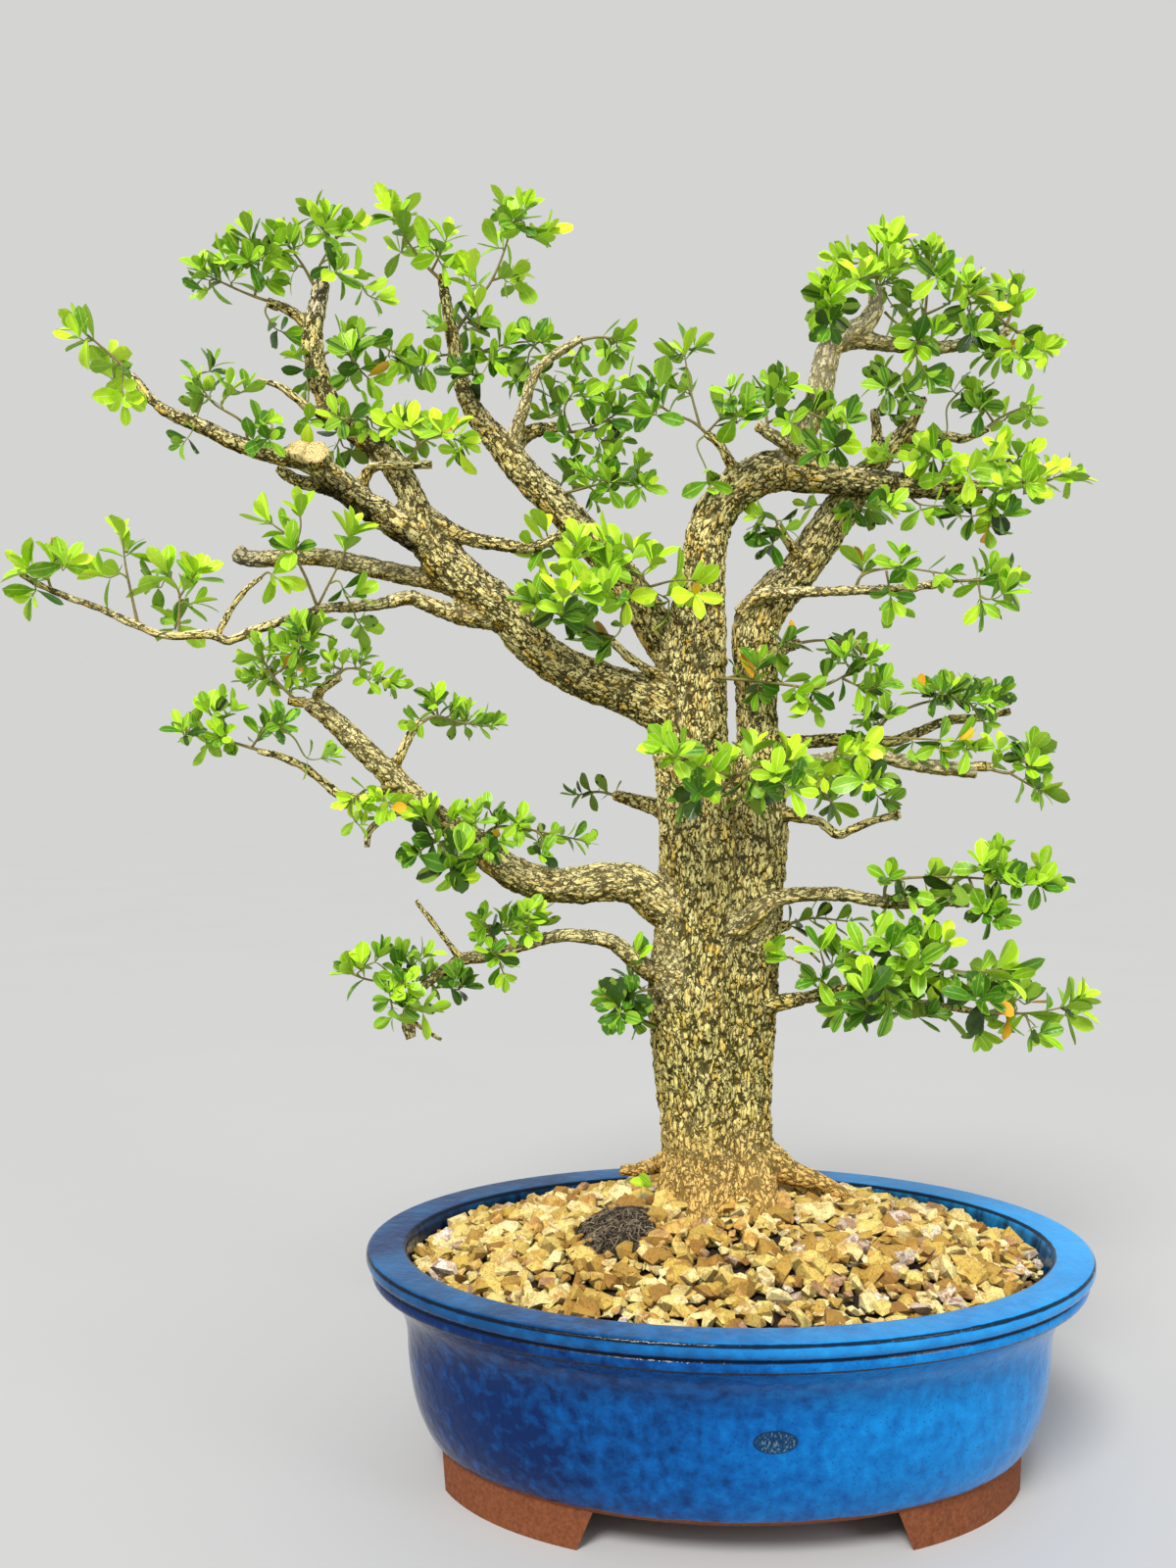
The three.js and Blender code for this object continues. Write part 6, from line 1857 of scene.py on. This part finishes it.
@dataclass
class Pot:
    """The oval pot, its rim, wall and feet, and the rule for its oval."""

    length: float = 453.0
    depth: float = 320.0
    wall_radius: float = 185.0
    rim_width: float = 25.0
    foot_height: float = 24.0
    foot_width: float = 15.0
    foot_inset: float = 43.0
    foot_taper: float = 0.1
    front_gap: float = 188.0
    side_gap: float = 76.0
    drain_gap: float = 170.0
    drain_radius: float = 15.0
    # How far the inner wall is darkened, as painted shade.
    inner_shade: float = 0.58
    sharp_angle: float = 50.0
    sides: int = 160

    def half_depth(self, r: float) -> float:
        """Gives the half-depth of the oval whose half-length is r."""
        inset = (self.length - self.depth) / 2
        return r - inset if r >= self.wall_radius else r * (self.wall_radius - inset) / self.wall_radius

    def profile(self) -> list[tuple[float, float]]:
        """Rounds the corners of the pot's section.

        Returns:
            The half-length and height of each of its points, from under the floor to its top.
        """
        edge = self.length / 2
        inner = edge - self.rim_width
        points = [
            (0.1, 21), (edge - 60, 21), (edge - 50, 21), (edge - 43, 22.5), (edge - 37.5, 28),
            (edge - 29.6, 47), (edge - 25.8, 72), (edge - 25.5, 92), (edge - 20, 107), (edge - 11, 117),
            (edge - 5.5, 121), (edge - 3.4, 123.5), (edge - 3.4, 127), (edge - 5, 129), (edge - 2, 130.5),
            (edge, 133), (edge, 137.5), (edge - 1.6, 139.6), (edge - 4, 139.7), (inner + 4, 139.2),
            (inner + 1, 138.6), (inner - 0.8, 136), (inner - 9, 96), (inner - 16, 44), (inner - 22, 36),
            (inner - 30, 34), (0.1, 34),
        ]
        for _ in range(2):
            cut = [points[0]]
            for (r0, z0), (r1, z1) in zip(points, points[1:]):
                cut.append((r0 * 0.75 + r1 * 0.25, z0 * 0.75 + z1 * 0.25))
                cut.append((r0 * 0.25 + r1 * 0.75, z0 * 0.25 + z1 * 0.75))
            points = [*cut, points[-1]]
        return points

    def wear_and_shade(self, r: float, z: float) -> float:
        """Tells how dark the glaze is at a point of the section, from thin glaze and painted shade.

        Args:
            r: The point's half-length.
            z: Its height.

        Returns:
            The darkening, from 0 to 1: painted shade on the inner wall, and highest on sharp edges, where the
                glaze thins, and in the grooves under the rim, where it is painted shade.
        """
        edge = self.length / 2
        inner = edge - self.rim_width + 0.5
        # Painted shade: the inner wall of the pot is darkened as if in shadow.
        if z > 40 and r < edge - 25.6 - (136 - z) * 0.17:
            return self.inner_shade
        # Sharp places: the rim's outer and inner top edges, where the glaze thins, and the grooves above and
        # below the bead under the rim, whose darkening is painted shade.
        sharp = ((edge, 138.6, 1.2), (inner, 138.5, 1.4), (edge - 4.6, 129, 1.2), (edge - 4.4, 122, 0.9))
        return max(math.exp(-((r - x) ** 2 + (z - y) ** 2) / (2 * s * s)) for x, y, s in sharp)

    def body(self) -> Shape:
        """Turns the section round the oval.

        Returns:
            The glazed body without its drains.
        """
        shape = Shape()
        profile = self.profile()
        points, glaze_darkening, faces = [], [], []
        for r, z in profile:
            for k in range(self.sides):
                turn = math.tau * k / self.sides
                points.append((POT_X + r * math.cos(turn), self.half_depth(r) * math.sin(turn), z))
                glaze_darkening.append(self.wear_and_shade(r, z))
        for row in range(len(profile) - 1):
            for k in range(self.sides):
                a, b = row * self.sides + k, row * self.sides + (k + 1) % self.sides
                faces.append([a, b, b + self.sides, a + self.sides])
        # The edge value darkens the glaze: where it thins on sharp edges, and as painted shade in the grooves
        # and on the inner wall.
        shape.add(np.array(points), faces, edge=np.array(glaze_darkening))
        return shape

    def drill(self, body: bpy.types.Object) -> None:
        """Opens the drains in the floor of the pot.

        Args:
            body: The glazed body.
        """
        cutter = Shape()
        for way in (-1, 1):
            track = [(POT_X + way * self.drain_gap / 2, z, 0, self.drain_radius) for z in (12, 24, 50)]
            points, faces, _ = tube(rings_along(track, 12, is_seen=False), 32)
            cutter.add(points, faces)
        tool = cutter.build("drain_cutter")
        cut = body.modifiers.new("drains", "BOOLEAN")
        cut.object = tool
        body.data = bpy.data.meshes.new_from_object(body.evaluated_get(bpy.context.evaluated_depsgraph_get()))
        body.modifiers.clear()
        bpy.data.objects.remove(tool)

    def foot(self, shape: Shape, way_x: int, way_y: int) -> None:
        """Adds one foot with slanted ends.

        Args:
            shape: The mesh that it goes into.
            way_x: 1 for a foot at the right, -1 at the left.
            way_y: 1 for a foot at the back, -1 at the front.
        """
        outer = self.length / 2 - self.foot_inset
        steps, levels = 24, 5
        points, faces = [], []
        for level in range(levels):
            z = self.foot_height * level / (levels - 1)
            narrow = 1 - self.foot_taper * z / self.foot_height
            for radius in (outer + 0.02 * z, outer - self.foot_width):
                depth = self.half_depth(radius)
                start = math.asin(self.side_gap / 2 * narrow / depth)
                end = math.acos(self.front_gap / 2 * narrow / radius)
                for k in range(steps + 1):
                    turn = start + (end - start) * k / steps
                    x = POT_X + way_x * radius * math.cos(turn)
                    points.append((x, way_y * depth * math.sin(turn), z))
        row = steps + 1
        for level in range(levels - 1):
            base = level * 2 * row
            for k in range(steps):
                a, b = base + k, base + row + k
                faces.append([a, a + 1, a + 1 + 2 * row, a + 2 * row])
                faces.append([b + 1, b, b + 2 * row, b + 1 + 2 * row])
            faces.append([base + row, base, base + 2 * row, base + 3 * row])
            last = base + steps
            faces.append([last, last + row, last + 3 * row, last + 2 * row])
        for k in range(steps):
            faces.append([k, row + k, row + k + 1, k + 1])
        if way_x * way_y < 0:
            faces = [face[::-1] for face in faces]
        shape.add(np.array(points), faces, edge=0.0)

    def build(self) -> None:
        """Builds and dresses the pot."""
        glaze = GlazeFinish().material()
        body = self.body().build("pot_glazed")
        self.drill(body)
        feet = Shape()
        for way_x, way_y in itertools.product((-1, 1), repeat=2):
            self.foot(feet, way_x, way_y)
        for made in (body, feet.build("pot_feet")):
            made.data.set_sharp_from_angle(angle=math.radians(self.sharp_angle))
            dress(made, glaze, ["pot"])


@dataclass
class Gravel:
    """The bed of crushed stones, mounded round the trunk."""

    pot: Pot
    wood: Wood
    edge_height: float = 125.0
    crown_height: float = 168.0
    bed_drop: float = 5.0
    seed: int = 977
    stone_forms: int = 18
    # Half-lengths of the smallest and largest stones.
    stone_size: tuple[float, float] = (4.3, 12.0)
    # The distance between the stones of each layer and its height over the bed.
    layers: tuple[Point, ...] = ((8.3, -2.0), (10.375, 1.2))
    row_share: float = 0.87
    clump_x: float = -73.0
    clump_y: float = -34.0
    clump_length: float = 57.0
    clump_depth: float = 58.0

    def __post_init__(self) -> None:
        """Starts the random order and finds the bed's edge."""
        self.random = random.Random(self.seed)
        self.edge = self.pot.length / 2 - self.pot.rim_width - 1

    def height(self, x: float, y: float) -> float:
        """Gives the height of the bed.

        Args:
            x: A place's x.
            y: Its y.

        Returns:
            The height there, which falls from the crown to the pot's edge.
        """
        r = math.hypot(x - POT_X, y * self.pot.length / self.pot.depth)
        fall = min(r / (self.edge + 1), 1)
        return self.crown_height - (self.crown_height - self.edge_height) * fall**1.6

    def inside(self, x: float, y: float, margin: float) -> bool:
        """Tells whether a place is in the pot, by a margin."""
        r = self.edge - margin
        return ((x - POT_X) / r) ** 2 + (y / self.pot.half_depth(r)) ** 2 < 1

    def stone_form(self) -> tuple[np.ndarray, list]:
        """Makes one angular stone with a half-length of about 1.

        Returns:
            Its vertices and its faces.
        """
        pick = self.random
        made = bmesh.new()
        narrow, flat = pick.uniform(0.5, 0.9), pick.uniform(0.42, 0.75)
        for _ in range(pick.randrange(11, 17)):
            ray = Vector([pick.gauss(0, 1) for _ in range(3)]).normalized() * pick.uniform(0.86, 1.08)
            made.verts.new((ray.x, ray.y * narrow, ray.z * flat))
        hull = bmesh.ops.convex_hull(made, input=made.verts)
        bmesh.ops.delete(made, geom=hull["geom_interior"], context="VERTS")
        made.verts.ensure_lookup_table()
        made.verts.index_update()
        points = np.array([vert.co[:] for vert in made.verts])
        faces = [[vert.index for vert in face.verts] for face in made.faces]
        made.free()
        return points, faces

    def add_bed(self, shape: Shape) -> None:
        """Adds the bed under the stones, which is coloured near black as painted shade in the gaps between
        them.

        Args:
            shape: The mesh that it goes into.
        """
        rings, sides = 26, 96
        points = [(0, 0, self.height(0, 0) - self.bed_drop)]
        faces = []
        for k in range(1, rings + 1):
            r = self.edge * k / rings
            for j in range(sides):
                turn = math.tau * j / sides
                x, y = POT_X + r * math.cos(turn), self.pot.half_depth(r) * math.sin(turn)
                lumps = noise.noise(Vector((x, y, 0)) * 0.09) * 2
                points.append((x, y, self.height(x, y) - self.bed_drop + lumps))
        for j in range(sides):
            faces.append([0, 1 + j, 1 + (j + 1) % sides])
        for k in range(rings - 1):
            for j in range(sides):
                a, b = 1 + k * sides + j, 1 + k * sides + (j + 1) % sides
                faces.append([a, a + sides, b + sides, b])
        shape.add(np.array(points), faces, pick=0.3, bed=1.0)

    def is_open(self, x: float, y: float) -> bool:
        """Tells whether a place is in the fibrous clump, where no stone lies."""
        wide, deep = (x - self.clump_x) / self.clump_length, (y - self.clump_y) / self.clump_depth
        return math.hypot(wide, deep) < 0.4 + 0.1 * noise.noise(Vector((x, y, 7)) * 0.09)

    def add_stones(self, shape: Shape, pitch: float, lift: float, forms: list) -> None:
        """Scatters one layer of stones over the bed.

        Args:
            shape: The mesh that they go into.
            pitch: Their usual distance.
            lift: The height of the layer over the bed.
            forms: The stone forms to choose from.
        """
        pick = self.random
        low, high = self.stone_size
        rows = int(self.pot.depth / (pitch * self.row_share)) + 1
        columns = int(self.pot.length / pitch) + 1
        for row, column in itertools.product(range(rows), range(columns)):
            x = POT_X + (column - columns / 2 + (row % 2) / 2 + pick.uniform(-0.36, 0.36)) * pitch
            y = ((row - rows / 2) * self.row_share + pick.uniform(-0.36, 0.36)) * pitch
            size = low + (high - low) * pick.random() ** 1.7
            z = self.height(x, y) + lift + pick.uniform(-1.9, 1.6)
            if self.is_open(x, y) or not self.inside(x, y, size * 0.75):
                continue
            if self.wood.nearest(Vector((x, y, z)), 5)[1] < -1.5:
                continue
            points, faces = forms[pick.randrange(len(forms))]
            turn = Matrix.Rotation(pick.uniform(0, math.tau), 3, "Z")
            lean, axis = pick.gauss(0, 0.5), Vector((pick.gauss(0, 1), pick.gauss(0, 1), 0.01))
            tip = Matrix.Rotation(lean, 3, axis)
            spread = (size * pick.uniform(0.85, 1.15), size * pick.uniform(0.85, 1.15), size * 0.95)
            placed = (points * spread) @ np.array(tip @ turn).T + np.array((x, y, z))
            shape.add(placed, faces, pick=pick.random(), bed=0.0)

    def build(self) -> None:
        """Builds and dresses the gravel."""
        shape = Shape()
        self.add_bed(shape)
        forms = [self.stone_form() for _ in range(self.stone_forms)]
        for pitch, lift in self.layers:
            self.add_stones(shape, pitch, lift, forms)
        dress(shape.build("gravel_stones", smooth=False), StoneFinish().material(), ["gravel"])


@dataclass
class FibrousClump:
    """The dark matted clump of roots that lies open in the gravel."""

    gravel: Gravel
    seed: int = 61
    fibres: int = 640
    rise: float = 8.0
    sink: float = 4.0

    def surface(self, wide: float, deep: float) -> Vector:
        """Gives a point of the clump's low lumpy dome.

        Args:
            wide: The place as a share of its half-length.
            deep: The place as a share of its half-depth.

        Returns:
            The point.
        """
        share = min(1.0, wide * wide + deep * deep)
        flat = Vector((wide * self.gravel.clump_length / 2, deep * self.gravel.clump_depth / 2, 0))
        centre = Vector((self.gravel.clump_x, self.gravel.clump_y, 0))
        spot = centre + Matrix.Rotation(-0.3, 3, "Z") @ flat
        lumps = noise.fractal(spot * 0.12, 0.7, 2.0, 4) * 2.4 * (1 - share)
        dome = self.rise * math.sqrt(1 - share) - self.sink
        return spot + UP * (self.gravel.height(spot.x, spot.y) + dome + lumps)

    def add_dome(self, shape: Shape) -> None:
        """Adds the lumpy dome of earth.

        Args:
            shape: The mesh that it goes into.
        """
        rings, sides = 12, 40
        points = [self.surface(0, 0)]
        faces = [[0, 1 + j, 1 + (j + 1) % sides] for j in range(sides)]
        for k in range(1, rings + 1):
            for j in range(sides):
                turn = math.tau * j / sides
                points.append(self.surface(math.cos(turn) * k / rings, math.sin(turn) * k / rings))
        for k in range(rings - 1):
            for j in range(sides):
                a, b = 1 + k * sides + j, 1 + k * sides + (j + 1) % sides
                faces.append([a, a + sides, b + sides, b])
        shape.add(np.array(points), faces, pick=0.0, root=0.0)

    def add_fibres(self, shape: Shape) -> None:
        """Adds loose curved fibres over the dome.

        Args:
            shape: The mesh that they go into.
        """
        pick = random.Random(self.seed)
        for _ in range(self.fibres):
            turn, share = pick.uniform(0, math.tau), math.sqrt(pick.random()) * 0.9
            wide, deep = math.cos(turn) * share, math.sin(turn) * share
            heading, curl = pick.uniform(0, math.tau), pick.uniform(-0.8, 0.8)
            thick, arch = pick.uniform(0.22, 0.42), pick.uniform(0.3, 2.6)
            track = []
            for k in range(5):
                spot = self.surface(min(max(wide, -0.95), 0.95), min(max(deep, -0.95), 0.95))
                spot += UP * (0.3 + arch * math.sin(math.pi * k / 4))
                track.append((spot.x, spot.z, spot.y, thick))
                wide += math.cos(heading) * 0.12
                deep += math.sin(heading) * 0.12
                heading += curl
            points, faces, _ = tube(rings_along(track, 3.0, is_seen=False), 3)
            shape.add(points, faces, pick=pick.random() ** 1.5, root=1.0)

    def build(self) -> None:
        """Builds and dresses the clump."""
        shape = Shape()
        self.add_dome(shape)
        self.add_fibres(shape)
        dress(shape.build("clump_fibres"), FibreFinish().material(), ["fibrous_clump"])


@dataclass
class Soil:
    """The earth in the pot, which keeps its CAD solid."""

    def build(self) -> None:
        """Dresses the CAD solid."""
        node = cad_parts["soil"]
        node.data.materials.clear()
        node.data.materials.append(EarthFinish().material())
        log.info("%s: CAD solid dressed", node.name)


# Stage


@dataclass
class Studio:
    """Plain pale floor, soft lights and the camera."""

    floor_size: float = 60.0
    world_color: tuple = (1.0, 1.0, 0.98, 1)
    world_strength: float = 0.66
    sun_strength: float = 3.0
    sun_angle: float = 0.32
    sun_color: tuple = (1.0, 0.98, 0.93)
    sun_way: tuple = (0.27, 0.75, -0.9)
    # Name, place and width in metres, and power of each soft light.
    boxes: tuple = (("left_box", (-1.2, -1.5, 1.5), 0.7, 5), ("right_box", (1.5, -1.2, 0.9), 0.6, 8))
    boxes_aim: tuple = (0, 0, 0.4)
    # The camera's focal length and the width of its film, in millimetres.
    lens: float = 30.375
    film_width: float = 36.0

    def add_light(self, name: str, place: Point, size: float, power: float) -> None:
        """Adds a square soft light that looks at the tree.

        Args:
            name: Its name.
            place: Where it is, in metres.
            size: Its width.
            power: Its power in watts.
        """
        light = bpy.data.lights.new(name, "AREA")
        light.size = size
        light.energy = power
        made = bpy.data.objects.new(name, light)
        made.location = place
        way = Vector(self.boxes_aim) - Vector(place)
        made.rotation_euler = way.to_track_quat("-Z", "Y").to_euler()
        bpy.context.scene.collection.objects.link(made)

    def add_sun(self) -> None:
        """Adds the soft high light from the front left."""
        light = bpy.data.lights.new("sun", "SUN")
        light.energy = self.sun_strength
        light.angle = self.sun_angle
        light.color = self.sun_color
        made = bpy.data.objects.new("sun", light)
        made.rotation_euler = Vector(self.sun_way).to_track_quat("-Z", "Y").to_euler()
        bpy.context.scene.collection.objects.link(made)

    def add_floor(self) -> None:
        """Adds the floor."""
        mesh = bpy.data.meshes.new("floor")
        half = self.floor_size / 2
        corners = [(-half, -half, 0), (half, -half, 0), (half, half, 0), (-half, half, 0)]
        mesh.from_pydata(corners, [], [(0, 1, 2, 3)])
        mesh.materials.append(FloorFinish().material())
        floor = bpy.data.objects.new("floor", mesh)
        bpy.context.scene.collection.objects.link(floor)

    def add_world(self) -> None:
        """Adds the even light from all round."""
        world = bpy.data.worlds.new("studio")
        world.use_nodes = True
        background = world.node_tree.nodes["Background"]
        background.inputs["Color"].default_value = self.world_color
        background.inputs["Strength"].default_value = self.world_strength
        bpy.context.scene.world = world

    def add_camera(self) -> None:
        """Adds the camera, level and at EYE."""
        camera = bpy.data.cameras.new("camera")
        camera.lens = self.lens
        camera.sensor_width = self.film_width
        made = bpy.data.objects.new("camera", camera)
        made.location = ORIGIN + EYE * MM
        made.rotation_euler = (math.radians(90), 0, 0)
        bpy.context.scene.collection.objects.link(made)
        bpy.context.scene.camera = made

    def build(self) -> None:
        """Builds the floor, the lights, the surrounding light and the camera."""
        self.add_floor()
        self.add_world()
        self.add_sun()
        for box in self.boxes:
            self.add_light(*box)
        self.add_camera()
        bpy.context.scene.view_settings.view_transform = "Standard"


def main() -> None:
    """Builds every piece in order."""
    logging.basicConfig(level=logging.INFO, format="%(message)s")
    Studio().build()
    wood = Wood()
    wood.build()
    pot = Pot()
    pot.build()
    gravel = Gravel(pot, wood)
    gravel.build()
    FibrousClump(gravel).build()
    Soil().build()
    Foliage(wood).build()


if __name__ == "__main__":
    main()
